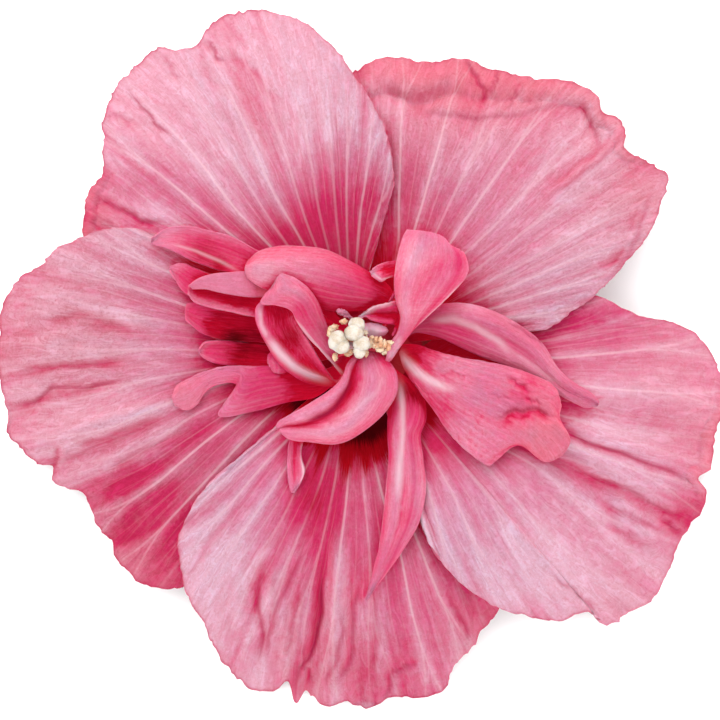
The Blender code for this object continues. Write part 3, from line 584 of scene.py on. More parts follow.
def petal_finish(name, colours, sizes, vein_strength, fibre_strength, streak_strength, stain_range):
    """Living tissue. The sizes in mm: the veins' spacing, a blade's length, and each pattern's width and length."""
    made, tree, shader = new_material(name)
    data = {key: add(tree, "Attribute", attribute_name=key) for key in (*BLADE_DATA, "under")}
    data = {key: socket.node.outputs["Fac"] for key, socket in data.items()}
    colours = {key: linear(code) for key, code in colours.items()}
    for rate, width, strength, start in VEIN_ORDERS:
        lane = add(tree, "Math", [data["phase"], rate], operation="MULTIPLY")
        number = add(tree, "Math", [lane, None], operation="ROUND")
        chance = add(tree, "TexWhiteNoise", [number], noise_dimensions="1D")
        side = add(tree, "Math", [lane, number], operation="SUBTRACT")
        side = add(tree, "Math", [side], operation="ABSOLUTE")
        fork_from = add(tree, "Math", [chance, 0.45, 0.42], operation="MULTIPLY_ADD")
        fork = add(tree, "MapRange", [data["along"], fork_from, 1.15, 0.0, 0.3], interpolation_type="SMOOTHSTEP")
        off = add(tree, "Math", [side, fork], operation="SUBTRACT")
        off = add(tree, "Math", [off], operation="ABSOLUTE")
        off = add(tree, "Math", [off, data["spacing"]], operation="MULTIPLY")
        off = add(tree, "Math", [off, 1 / rate], operation="MULTIPLY")
        line = add(tree, "MapRange", [off, 0.02, width * 1.9, 1.0, 0.0], interpolation_type="SMOOTHERSTEP")
        begin = add(tree, "MapRange", [data["along"], start, start + 0.15, 0.0, 1.0], interpolation_type="SMOOTHSTEP")
        end = add(tree, "MapRange", [data["along"], 0.6, 1.05, 1.0, 0.25], interpolation_type="SMOOTHSTEP")
        power = add(tree, "Math", [chance, 0.65, 0.35], operation="MULTIPLY_ADD")
        for share in (begin, end, power, strength):
            line = add(tree, "Math", [line, share], operation="MULTIPLY")
        if rate == 1:
            veins = line
            halo = add(tree, "MapRange", [off, 0.0, HALO_WIDTH, 0.45, 0.0], interpolation_type="SMOOTHSTEP")
            for share in (begin, power):
                halo = add(tree, "Math", [halo, share], operation="MULTIPLY")
        else:
            veins = add(tree, "Math", [veins, line], operation="MAXIMUM")
    lengthwise = {}
    for pattern, distortion in (("fibre", 0.0), ("crinkle", 0.7), ("streak", 0.4)):
        width, length = sizes[pattern]
        across = add(tree, "Math", [data["phase"], sizes["veins"] / width], operation="MULTIPLY")
        onward = add(tree, "Math", [data["along"], sizes["blade"] / length], operation="MULTIPLY")
        place = add(tree, "CombineXYZ", [across, onward, 0.0])
        lengthwise[pattern] = add(tree, "TexNoise", [place, 1.0, 3.0, 0.6, 2.0, distortion], noise_dimensions="2D")
    striation, crinkle, streak = lengthwise.values()
    where = add(tree, "TexCoord").node.outputs["Object"]
    speckle = add(tree, "TexNoise", [where, 1 / SPECKLE_SIZE, 2.0, 0.7])
    mottle = add(tree, "TexNoise", [where, 1 / MOTTLE_SIZE, 3.0, 0.6])
    wrinkle = add(tree, "Math", [crinkle, 0.5], operation="SUBTRACT")
    ridge = add(tree, "Math", [wrinkle], operation="ABSOLUTE")
    groove = add(tree, "MapRange", [ridge, 0.0, 0.055, 1.0, 0.0], interpolation_type="SMOOTHSTEP")
    cloud = add(tree, "TexNoise", [where, 1 / CLOUD_SIZE, 2.0, 0.5])
    blotch = -0.42 - streak_strength / 2
    for source, share in ((mottle, 0.6), (streak, streak_strength), (cloud, 0.3)):
        blotch = add(tree, "Math", [source, share, blotch], operation="MULTIPLY_ADD")
    palest = add(tree, "Math", [data["pale"], blotch], operation="SUBTRACT")
    palest = add(tree, "Math", [halo, vein_strength * 1.6, palest], operation="MULTIPLY_ADD", use_clamp=True)
    colour = add(tree, "Mix", [palest, colours["mid"], colours["pale"]], data_type="RGBA")
    colour = add(tree, "Mix", [data["coral"], colour, colours["coral"]], data_type="RGBA")
    deepest = add(tree, "Math", [data["deep"], blotch], operation="ADD")
    deepest = add(tree, "Math", [halo, vein_strength * -0.8, deepest], operation="MULTIPLY_ADD", use_clamp=True)
    colour = add(tree, "Mix", [deepest, colour, colours["deep"]], data_type="RGBA")
    for stain in ("crimson", "dark"):
        streaky = add(tree, "Math", [striation, 1.0, -0.5], operation="MULTIPLY_ADD")
        streaky = add(tree, "Math", [streaky, data[stain]], operation="ADD")
        streaky = add(tree, "MapRange", [streaky, *stain_range, 0.0, 1.0], interpolation_type="SMOOTHSTEP")
        colour = add(tree, "Mix", [streaky, colour, colours[stain]], data_type="RGBA")
    fibre = add(tree, "MapRange", [striation, 0.3, 0.72, -0.5, 0.5])
    grain = add(tree, "Math", [speckle, 0.5], operation="SUBTRACT")
    patchy = add(tree, "Math", [mottle, 0.5], operation="SUBTRACT")
    tone = add(tree, "Math", [data["tone"], 1.0], operation="ADD")
    # Painted shade: the crinkles' grooves darken the tone, where the bump sinks.
    for source, share in ((fibre, fibre_strength), (grain, 0.5), (patchy, 0.35), (groove, -0.16), (wrinkle, 0.5)):
        tone = add(tree, "Math", [source, share, tone], operation="MULTIPLY_ADD")
    red = add(tree, "Math", [tone, 0.45], operation="POWER")
    red = add(tree, "Math", [red, data["glow"], red], operation="MULTIPLY_ADD")
    shade = add(tree, "CombineColor", [red, tone, tone])
    colour = add(tree, "Mix", [1.0, colour, shade], data_type="RGBA", blend_type="MULTIPLY")
    outside_eye = add(tree, "MapRange", [data["crimson"], 0.1, 0.6, vein_strength, 0.0])
    veins_seen = add(tree, "Math", [veins, outside_eye], operation="MULTIPLY")
    veins_seen = add(tree, "Math", [veins_seen, data["white"]], operation="MAXIMUM")
    below = add(tree, "Math", [data["under"], 0.35], operation="MULTIPLY")
    # Last the veins, the underside's own pink, and the painted crease shade with the rim line are mixed in.
    for layer, amount in (("vein", veins_seen), ("under", below), ("crease", data["crease"])):
        colour = add(tree, "Mix", [amount, colour, colours[layer]], data_type="RGBA")
    relief = add(tree, "Math", [veins, -0.25], operation="MULTIPLY")
    for source, rise in ((striation, 0.35), (crinkle, 3.2), (groove, -0.5), (mottle, 0.4), (speckle, 0.3)):
        relief = add(tree, "Math", [source, rise, relief], operation="MULTIPLY_ADD")
    finish_with(tree, shader, {
        "Base Color": colour, "Normal": add(tree, "Bump", [0.4, RELIEF_HEIGHT, None, relief]),
        "Roughness": add(tree, "MapRange", [striation, 0.3, 0.7, 0.66, 0.8]),
        "Emission Strength": add(tree, "Math", [data["through"], THROUGH_GLOW], operation="MULTIPLY"),
        "Emission Color": linear(THROUGH_COLOUR, 1), "IOR": 1.42, "Specular IOR Level": 0.015, "Sheen Weight": 0.04,
        "Sheen Tint": (1.0, 0.1, 0.22, 1.0), "Sheen Roughness": 0.45, "Subsurface Weight": 0.4,
        "Subsurface Radius": (1.0, 0.28, 0.36), "Subsurface Scale": 0.001,
    })
    made.cycles.emission_sampling = "NONE"
    return made


# The crease colour is painted shade in the folds, and also the thin darker line along the outer petals' rims.
PETAL_COLOURS = {
    "mid": "#e67c9e", "pale": "#f6b5ca", "deep": "#de3166", "coral": "#f0879b", "crimson": "#c00a1c",
    "dark": "#460204", "vein": "#fbd0da", "under": "#e793aa", "crease": "#ba2450",
}
PETALOID_COLOURS = {
    "mid": "#f27aa0", "pale": "#fdaac4", "deep": "#e63870", "coral": "#f27f96", "crimson": "#b8082a",
    "dark": "#560306", "vein": "#fbdae4", "under": "#e088a4", "crease": "#b01c48",
}
PETAL_SIZES = {"veins": 4.2, "blade": 42, "fibre": (0.4, 3.2), "crinkle": (0.6, 2.8), "streak": (1.4, 13)}
PETALOID_SIZES = {"veins": 1.3, "blade": 37, "fibre": (0.3, 2.4), "crinkle": (0.5, 1.4), "streak": (0.9, 9)}
petal_tissue = petal_finish("petal_tissue_matt", PETAL_COLOURS, PETAL_SIZES, 0.52, 0.13, 0.52, (0.2, 0.85))
petaloid_tissue = petal_finish("petaloid_tissue_matt", PETALOID_COLOURS, PETALOID_SIZES, 0.1, 0.1, 0.3, (0.1, 1.1))
print("finishes:", petal_tissue.name, petaloid_tissue.name)

# %% [markdown]
# ## Where the pink is deep and where it is pale
# Every petal is deepest round its eye and palest in its outer part. Its hollows are painted a deeper pink and its
# ridges a paler one, a painted shade and a painted light. On top of that each has soft patches: a place on the
# picture, a radius in picture units and an amount. `deep`, `pale`, `coral`, `crimson` and `dark` each mix in a colour
# of the finish, and `shade` is painted shade, or painted light where negative. Next to the tuft several deep,
# crimson, dark and shade patches are the painted shadow that the petaloids cast on the petals.

# %% Patches of colour
PATCHES = {
    "petal_upper_left": {
        "deep": ((334, 228, 58, 0.9), (350, 186, 46, 0.2), (378, 196, 24, 0.4), (106, 180, 18, 0.3),
                 (88, 215, 12, 0.7),
                 (240, 120, 34, 0.2), (160, 160, 34, 0.2), (135, 200, 30, 0.35), (220, 220, 26, 0.2)),
        "pale": ((250, 50, 100, 1.0), (150, 110, 50, 0.6), (330, 90, 40, 0.4), (262, 140, 50, 0.5),
                 (150, 225, 26, 0.2)),
        "shade": ((150, 225, 26, -0.3), (240, 120, 30, 0.04)),
        "coral": ((95, 215, 22, 0.8),),
    },
    "petal_upper_right": {
        "deep": ((395, 190, 30, 0.25), (480, 112, 24, 0.3), (432, 205, 30, 0.25)), "crimson": ((391, 286, 6, 0.9),),
        "pale": ((560, 210, 80, 0.4), (600, 120, 40, 0.4), (384, 100, 24, 1.0), (470, 300, 50, 0.3),
                 (530, 290, 40, 0.3)),
        "coral": ((440, 85, 60, 0.8), (520, 90, 50, 0.5), (640, 190, 30, 0.4)),
        "shade": ((385, 100, 22, -0.2), (620, 200, 40, 0.1)),
    },
    "petal_right": {
        "deep": ((440, 424, 30, 0.5), (600, 330, 60, 0.6), (690, 512, 28, 0.8), (560, 500, 60, 0.15)),
        "crimson": ((428, 410, 8, 0.6),),
        "shade": ((690, 515, 24, 0.08), (620, 600, 34, 0.14), (620, 330, 40, -0.1), (600, 400, 34, -0.12),
                  (440, 430, 14, -0.15)),
        "pale": ((550, 540, 80, 0.55), (600, 410, 50, 0.8)),
        "coral": ((640, 340, 80, 0.6), (700, 430, 50, 0.4), (690, 520, 30, 0.2)),
    },
    "petal_bottom": {
        # Painted shadow of the tuft: the deep, crimson and shade patches from (312, 478) to (330, 528).
        "deep": ((312, 480, 30, 0.4), (375, 500, 30, 0.1), (345, 480, 18, 0.15), (316, 506, 30, 0.9),
                 (330, 528, 36, 0.5), (300, 570, 40, 0.4), (350, 660, 50, 0.4),
                 (480, 615, 30, 0.35), (240, 640, 40, 0.25), (430, 590, 44, 0.5), (450, 645, 30, 0.2)),
        "crimson": ((314, 504, 22, 0.5),),
        "pale": ((215, 560, 60, 0.7), (240, 640, 60, 0.2), (350, 488, 22, 0.3)),
        "shade": ((312, 478, 24, 0.22), (345, 478, 20, 0.15), (350, 660, 44, 0.15), (330, 520, 26, 0.13),
                  (430, 590, 40, -0.1)),
        "coral": ((480, 620, 40, 0.6), (300, 670, 30, 0.3)),
    },
    "petal_left": {
        # Painted shadow: the deep patch at (205, 435) lies under the hooked petaloid.
        "deep": ((230, 330, 45, 0.6), (136, 500, 44, 0.6), (150, 540, 50, 0.5), (205, 435, 28, 0.6),
                 (180, 500, 30, 0.3)),
        "pale": ((70, 290, 70, 0.6), (60, 400, 60, 0.6), (140, 380, 50, 0.4), (172, 440, 26, 0.3)),
        # Painted shade: the dark crimson patch at (302, 404) fills the shadowed gap at the petal's base.
        "dark": ((302, 404, 14, 1.0),), "crimson": ((302, 404, 14, 0.8),),
        "shade": ((80, 330, 60, 0.16), (15, 350, 30, 0.08), (100, 250, 40, 0.04), (60, 420, 30, 0.06),
                  (120, 520, 26, 0.1)),
        "coral": ((150, 565, 45, 0.7), (20, 340, 30, 0.25)),
    },
}


def picture_units(points):
    """The plan's picture units of points in metres."""
    return points[..., 0] / UNIT + ORIGIN_UNITS[0], ORIGIN_UNITS[1] - points[..., 1] / UNIT


TONES = ("deep", "pale", "coral", "crimson", "dark")
PATCH_SPREAD = 0.7


def patched(points, patches, least=0):
    """The sum of soft round patches at each point, no less than the least and no more than 1."""
    x, y = picture_units(points)
    total = np.zeros(x.shape)
    for at_x, at_y, radius, amount in patches:
        total = total + amount * np.exp(-((x - at_x) ** 2 + (y - at_y) ** 2) / (2 * (radius * PATCH_SPREAD) ** 2))
    return np.clip(total, least, 1)


# %% The outer petals' sheets
# How deep the heart's pink is, how far the crimson eye reaches, how dark the eye is, and a painted shade that
# darkens the whole petal as the light falls on it where negative, and lightens it where positive
PETAL_HEARTS = {
    "petal_upper_left": (0.7, 0.12, 0.0, -0.06), "petal_upper_right": (0.12, 0.04, 0.0, -0.13),
    "petal_right": (0.5, 0.08, 0.4, 0.04), "petal_bottom": (0.6, 0.24, 1.0, 0.03),
    "petal_left": (0.4, 0.18, 0.4, -0.12),
}
# Painted shade in the hollows and painted light on the ridges, and the depth in mm at which a hollow counts fully
HOLLOW_SHADE = 0.5
RIDGE_LIGHT = 0.4
FULL_HOLLOW = 0.6
OUTER_PALE = 0.42
RIM_CORAL = 0.35
sheets = {}
for name, spec in OUTER_PETALS.items():
    sheet = sheets[name] = petal_sheet(name, spec)
    heart, eye, dark_eye, painted_petal_shade = PETAL_HEARTS[name]
    tones = {key: patched(sheet["points"], PATCHES[name].get(key, ())) for key in TONES}
    along = sheet["along"]
    outer = smooth((along - 0.45) / 0.4)
    edge = np.exp(-sheet["inset"] / 0.5) * RIM_CORAL
    sheet["deep"] = tones["deep"] + heart * smooth(1 - along / 0.5)
    # Painted shade: the hollows of the fine detail take a deeper pink.
    sheet["deep"] = sheet["deep"] + HOLLOW_SHADE * np.clip(-sheet["detail"] / FULL_HOLLOW, 0, 1)
    sheet["pale"] = np.clip(tones["pale"] + OUTER_PALE * outer, 0, 1)
    # Painted light: the ridges of the fine detail take a paler pink.
    sheet["pale"] = sheet["pale"] + RIDGE_LIGHT * np.clip(sheet["detail"] / FULL_HOLLOW, 0, 1)
    sheet["coral"] = np.clip(tones["coral"] + edge + 0.5 * sheet["rolled"], 0, 1)
    tongues = soft_noise(sheet["phase"] * 2.4 + 30, along * 2, 77)
    sheet["crimson"] = tones["crimson"] + smooth((eye + 0.07 + 0.09 * tongues - along) / 0.15)
    sheet["dark"] = tones["dark"] + dark_eye * smooth((eye - 0.02 - along) / 0.1)
    # The whole petal's painted shade, less its painted shade patches.
    sheet["tone"] = painted_petal_shade - patched(sheet["points"], PATCHES[name].get("shade", ()), -1)
print("outer sheets:", len(sheets))

# %% [markdown]
# ## Petaloids
# A petaloid curls, folds and twists, so a flat outline can't describe it. Each one is a small net of places that
# was laid over the picture: one row of places across the blade for each station from its foot to its tip.
# A place is x and y in picture units and a height in mm. A smooth curve runs through the net both ways. Where a
# blade is folded, its row doubles back over itself. The lowest petaloid comes first.

# %% The lower petaloids
LOWER_PETALOIDS = {
    "petaloid_torn_strip": (
        ((346, 364, 16.0), (350, 366, 16.4), (353, 368, 16.0)),
        ((316, 410, 18.6), (321, 413, 19.0), (326, 416, 18.6)),
        ((290, 440, 20.6), (296, 443, 20.2), (302, 446, 20.4)),
        ((288, 458, 21.0), (295, 459, 20.6), (302, 458, 21.2)),
        ((288, 474, 21.2), (296, 475, 20.8), (304.5, 473, 21.6)),
        ((290, 486, 21.0), (296, 487, 20.9), (299, 484, 21.2)),
        ((292.5, 491, 20.8), (293.5, 492, 20.8), (294.5, 491, 20.9)),
    ),
    "petaloid_left_low": (
        ((346, 348, 16.2), (346, 352, 16.0), (346, 356, 16.2)),
        ((300, 346, 19.0), (300, 354, 18.6), (300, 364, 18.9)),
        ((272, 346, 20.2), (270, 355, 19.6), (268, 368, 20.0)),
        ((240, 342, 21.2), (238, 352, 20.6), (236, 366, 20.9)),
        ((216, 341, 21.8), (213, 351, 21.0), (212, 362, 21.2)),
        ((204, 344, 21.9), (202, 350, 21.3), (203, 357, 21.3)),
        ((200, 350, 21.6), (199.5, 352, 21.5), (200.5, 354, 21.5)),
    ),
    "petaloid_left_dark": (
        ((346, 341, 17.8), (346, 346, 17.6), (346, 351, 17.8)),
        ((300, 322, 20.2), (300, 335, 19.8), (300, 346, 20.0)),
        ((262, 312, 21.4), (260, 327, 20.9), (258, 342, 21.2)),
        ((225, 304, 21.9), (222, 321, 21.3), (220, 339, 21.6)),
        ((200, 302, 22.0), (197, 315, 21.5), (199, 331, 21.8)),
        ((188, 304, 21.9), (186, 311, 21.7), (187, 320, 21.7)),
    ),
    "petaloid_left_tip": (
        ((348, 336, 19.2), (348, 340, 19.0), (348, 344, 19.2)),
        ((300, 308, 21.4), (300, 317, 21.2), (300, 326, 21.3)),
        ((250, 284, 22.4), (246, 296, 22.1), (243, 308, 22.2)),
        ((214, 276, 22.8), (208, 286, 22.2), (203, 300, 22.2)),
        ((196, 269, 22.9), (191, 279, 22.1), (187, 294, 21.9)),
        ((184, 264, 22.6), (180, 272, 21.9), (178, 283, 21.6)),
        ((176, 265, 22.2), (174, 270, 21.8), (174, 276, 21.6)),
        ((171, 268, 21.7), (171, 269.5, 21.7), (171.5, 271, 21.7)),
    ),
    "petaloid_upper_left": (
        ((352, 331, 20.6), (352, 336, 20.5), (352, 341, 20.6)),
        ((312, 292, 22.9), (310, 304, 23.0), (306, 316, 23.2)),
        ((280, 262, 23.6), (276, 280, 23.4), (270, 296, 23.9)),
        ((256, 250, 23.6), (250, 263, 23.2), (243, 277, 24.2)),
        ((234, 238, 23.4), (225, 252, 22.9), (217, 270, 24.2)),
        ((209, 231, 22.9), (200, 243, 22.5), (192, 260.5, 23.8)),
        ((186, 227, 22.4), (178, 237, 22.2), (172, 250.5, 23.0)),
        ((166, 230, 22.0), (162, 238, 22.0), (159, 246.5, 22.4)),
        ((153, 240, 21.8), (152.5, 242.5, 21.8), (153, 245, 21.9)),
    ),
    "petaloid_hooked": (
        ((352, 354, 17.8), (352, 360, 17.5), (351, 366, 17.6)),
        ((322, 370, 19.6), (320, 384, 19.4), (317, 396, 19.2)),
        ((292, 367, 20.9), (290, 386, 20.6), (287, 402, 20.0)),
        ((268, 366, 21.5), (265, 388, 21.2), (262, 409, 20.3)),
        ((252, 366, 21.9), (240, 391, 21.6), (219, 414, 20.4)),
        ((240, 365.5, 22.0), (240, 376, 21.6), (238, 385, 21.0)),
        ((222, 367, 21.9), (219, 376, 21.6), (216, 385, 21.0)),
        ((204, 372, 21.6), (203, 383, 21.5), (204, 394, 20.8)),
        ((189, 379, 21.2), (192, 391, 21.3), (197, 405, 20.6)),
        ((177, 387, 20.8), (180, 397, 21.0), (186, 409.5, 20.5)),
        ((173, 396, 20.6), (174, 400, 20.7), (177, 406, 20.5)),
    ),
    "petaloid_folded_left": (
        ((348, 336, 22.4), (348, 338, 22.6), (349, 340, 22.4), (350, 342, 22.3), (350, 344, 22.3)),
        ((310, 306, 24.4), (308, 310, 24.6), (309, 316, 24.0), (311, 322, 23.9), (311, 327, 24.2)),
        ((276, 297, 25.6), (272, 288, 25.7), (272, 297, 24.4), (276, 308, 24.2), (278, 321, 24.9)),
        ((256, 298, 25.9), (250, 274, 25.8), (250, 284, 23.8), (251, 301, 23.4), (250, 316, 24.7)),
        ((240, 296.5, 25.8), (231, 274.5, 25.7), (230, 282, 23.5), (231, 297, 23.0), (230, 311.5, 24.5)),
        ((222, 293, 25.4), (212, 276.5, 25.4), (211, 283, 23.3), (212, 295, 22.9), (211, 307.5, 24.2)),
        ((206, 289.5, 24.9), (199, 281, 24.9), (197, 285, 23.3), (197, 293, 23.1), (196, 302, 23.9)),
        ((194, 289, 24.2), (191.5, 286.5, 24.3), (190, 288, 23.8), (189.5, 291, 23.6), (189.5, 295, 23.8)),
    ),
    "small_lobe": (
        ((274, 348, 22.0), (283, 350, 22.2), (293, 356, 22.0)),
        ((268.5, 357, 22.2), (279, 360, 22.6), (290, 364, 22.2)),
        ((270, 366, 22.0), (279, 368, 22.4), (288, 370, 22.0)),
        ((275, 372, 21.8), (280, 373, 22.0), (285, 372, 21.8)),
    ),
    "petaloid_keeled": (
        ((346, 372, 19.2), (346, 371, 19.3), (347, 370, 19.2), (348, 369, 19.1), (348, 368, 19.2)),
        ((337, 384, 20.0), (337, 381, 20.6), (339, 381, 20.2), (341, 380, 20.2), (343, 379, 20.4)),
        ((322, 385, 20.9), (323, 378, 22.2), (328, 379, 21.4), (332, 380, 21.2), (336, 382, 21.6)),
        ((306, 381.5, 21.6), (308, 373, 23.4), (315, 374.5, 22.4), (322, 374, 22.2), (329, 374, 22.8)),
        ((293, 374, 22.2), (295.5, 366.5, 24.4), (304, 366, 23.2), (313, 364, 22.9), (321, 362, 23.8)),
        ((279, 362, 22.8), (283, 355, 25.2), (293, 353, 23.9), (303, 350, 23.6), (312, 346.5, 24.8)),
        ((268.5, 345, 23.6), (272, 342, 25.8), (282, 340, 24.5), (294, 337, 24.2), (304, 333, 25.6)),
        ((261, 331, 24.4), (263, 329, 26.2), (274, 327, 25.0), (287, 324, 24.7), (298, 320, 26.2)),
        ((257, 318, 25.2), (259, 316.5, 26.4), (270, 315, 25.4), (283, 313, 25.1), (295, 311, 26.4)),
        ((257.5, 309, 25.6), (259, 308, 26.4), (268, 307, 25.6), (280, 306.5, 25.4), (291, 308, 26.2)),
        ((261, 303.5, 26.0), (263, 303, 26.2), (268, 302.5, 26.0), (276, 303, 25.9), (284, 305, 26.0)),
    ),
    "petaloid_long_right": (
        ((396, 343, 18.6), (397, 344, 18.8), (398, 345, 18.9), (399, 346, 18.8), (400, 347, 18.6)),
        ((412, 325, 20.6), (412, 327, 20.9), (412, 329, 21.0), (412, 331, 20.9), (413, 333, 20.7)),
        ((430, 309, 21.6), (430, 315, 22.3), (431, 321, 22.2), (433, 328, 22.3), (436, 336, 21.8)),
        ((452, 304, 22.0), (452, 314, 23.2), (453, 325, 22.8), (455, 335, 23.0), (458, 346, 22.2)),
        ((474, 306, 22.2), (474, 318, 23.6), (475, 331, 23.1), (477, 343, 23.3), (480, 356, 22.2)),
        ((497, 314, 22.2), (496, 326, 23.6), (496, 339, 23.1), (497, 351, 23.2), (500, 363, 22.0)),
        ((520, 327, 21.9), (517, 338, 23.2), (516, 349, 22.7), (517, 360, 22.7), (520, 372, 21.6)),
        ((541, 344, 21.4), (537, 354, 22.4), (536, 364, 22.1), (536, 373, 22.0), (538, 382, 21.2)),
        ((556, 368, 21.2), (554, 375, 21.9), (553, 381, 21.6), (553, 387, 21.5), (555, 392, 21.0)),
        ((574, 384, 20.9), (573, 389, 21.3), (572, 394, 21.2), (572, 398, 21.1), (573, 402, 20.8)),
        ((590, 394, 20.6), (589, 397, 20.9), (588, 401, 20.9), (587, 404, 20.8), (586, 407, 20.6)),
        ((597, 402, 20.5), (597, 403, 20.6), (597, 404, 20.6), (596, 405, 20.6), (595, 406, 20.5)),
    ),
    "petaloid_lower_strap": (
        ((380, 360, 18.0), (381, 361, 18.1), (382, 362, 18.2), (383, 362, 18.1), (384, 362, 18.0)),
        ((389, 376, 20.0), (391, 375, 20.4), (393, 374, 20.6), (396, 373, 20.4), (398, 372, 20.0)),
        ((391, 388, 21.0), (397, 387, 21.6), (403, 386, 21.9), (410, 385, 21.6), (416, 387, 20.9)),
        ((390, 401, 21.4), (398, 401, 22.2), (406, 401, 22.3), (415, 401, 22.3), (424, 402, 20.9)),
        ((388, 418, 21.5), (397, 418, 22.6), (406, 419, 22.3), (416, 420, 22.4), (425, 419, 21.0)),
        ((388, 434, 21.6), (395, 434, 22.7), (403, 434, 22.3), (411, 434, 22.4), (420, 433, 21.4)),
        ((389, 456, 21.6), (397, 456, 22.7), (405, 456, 22.3), (414, 456, 22.4), (422, 456, 21.3)),
        ((386, 488, 21.3), (396, 488, 22.3), (405, 488, 21.9), (415, 488, 22.1), (425, 486, 20.9)),
        ((383, 520, 20.6), (392, 521, 21.5), (400, 522, 21.2), (409, 522, 21.4), (418, 521, 20.4)),
        ((379, 546, 20.0), (385, 547, 20.6), (391, 547, 20.4), (398, 546, 20.5), (405, 544, 19.8)),
        ((373, 572, 19.2), (377, 572, 19.6), (381, 571, 19.5), (385, 570, 19.5), (389, 568, 19.1)),
        ((368, 590, 18.6), (370, 590, 18.8), (371, 589, 18.8), (373, 588, 18.8), (375, 586, 18.6)),
        ((366, 598, 18.3), (366.5, 598.5, 18.4), (367, 599, 18.4), (367.5, 598.5, 18.4), (368, 597, 18.3)),
    ),
    "petaloid_crumpled": (
        ((402, 345, 19.8), (402, 346.5, 20.0), (401.5, 348, 20.1), (401, 349.5, 20.2), (400.5, 351, 20.2),
         (400, 352.5, 20.1), (400, 354, 19.8)),
        ((414, 345, 21.2), (413, 349, 21.6), (411, 353, 21.7), (410, 357, 21.7), (408, 360, 21.8),
         (406, 364, 21.7), (404, 367, 20.9)),
        ((432, 350, 22.4), (430, 356, 22.9), (428, 362, 23.1), (426, 368, 23.2), (423, 374, 23.3),
         (420, 380, 23.0), (415, 385, 21.8)),
        ((452, 356, 23.2), (450, 364, 23.8), (448, 373, 24.1), (445, 382, 24.2), (441, 390, 24.2),
         (437, 398, 23.8), (431, 406, 22.5)),
        ((475, 360, 23.6), (473, 371, 24.3), (470, 382, 24.6), (466, 393, 24.7), (461, 404, 24.5),
         (455, 415, 24.0), (445, 427, 22.9)),
        ((500, 365, 23.7), (500, 378, 24.4), (497, 391, 24.7), (492, 405, 24.7), (484, 418, 24.4),
         (474, 430, 24.0), (459, 444, 23.1)),
        ((524, 372, 23.5), (526, 386, 24.2), (523, 402, 24.4), (517, 417, 24.2), (506, 430, 24.0),
         (493, 441, 23.8), (472, 455, 23.1)),
        ((543, 380, 23.2), (548, 395, 23.8), (546, 413, 23.8), (542, 427, 24.5), (528, 438, 24.6),
         (508, 444, 23.6), (480, 461, 23.0)),
        ((550, 384, 23.0), (556, 398, 23.4), (554, 415, 23.4), (558, 434, 24.5), (540, 452, 24.2),
         (513, 443, 23.1), (485, 464, 22.8)),
        ((556, 391, 22.8), (559, 405, 23.0), (558, 419, 23.2), (568, 443, 24.0), (546, 461, 23.6),
         (517, 444, 22.8), (489, 465, 22.7)),
    ),
}
print("lower petaloids:", len(LOWER_PETALOIDS))

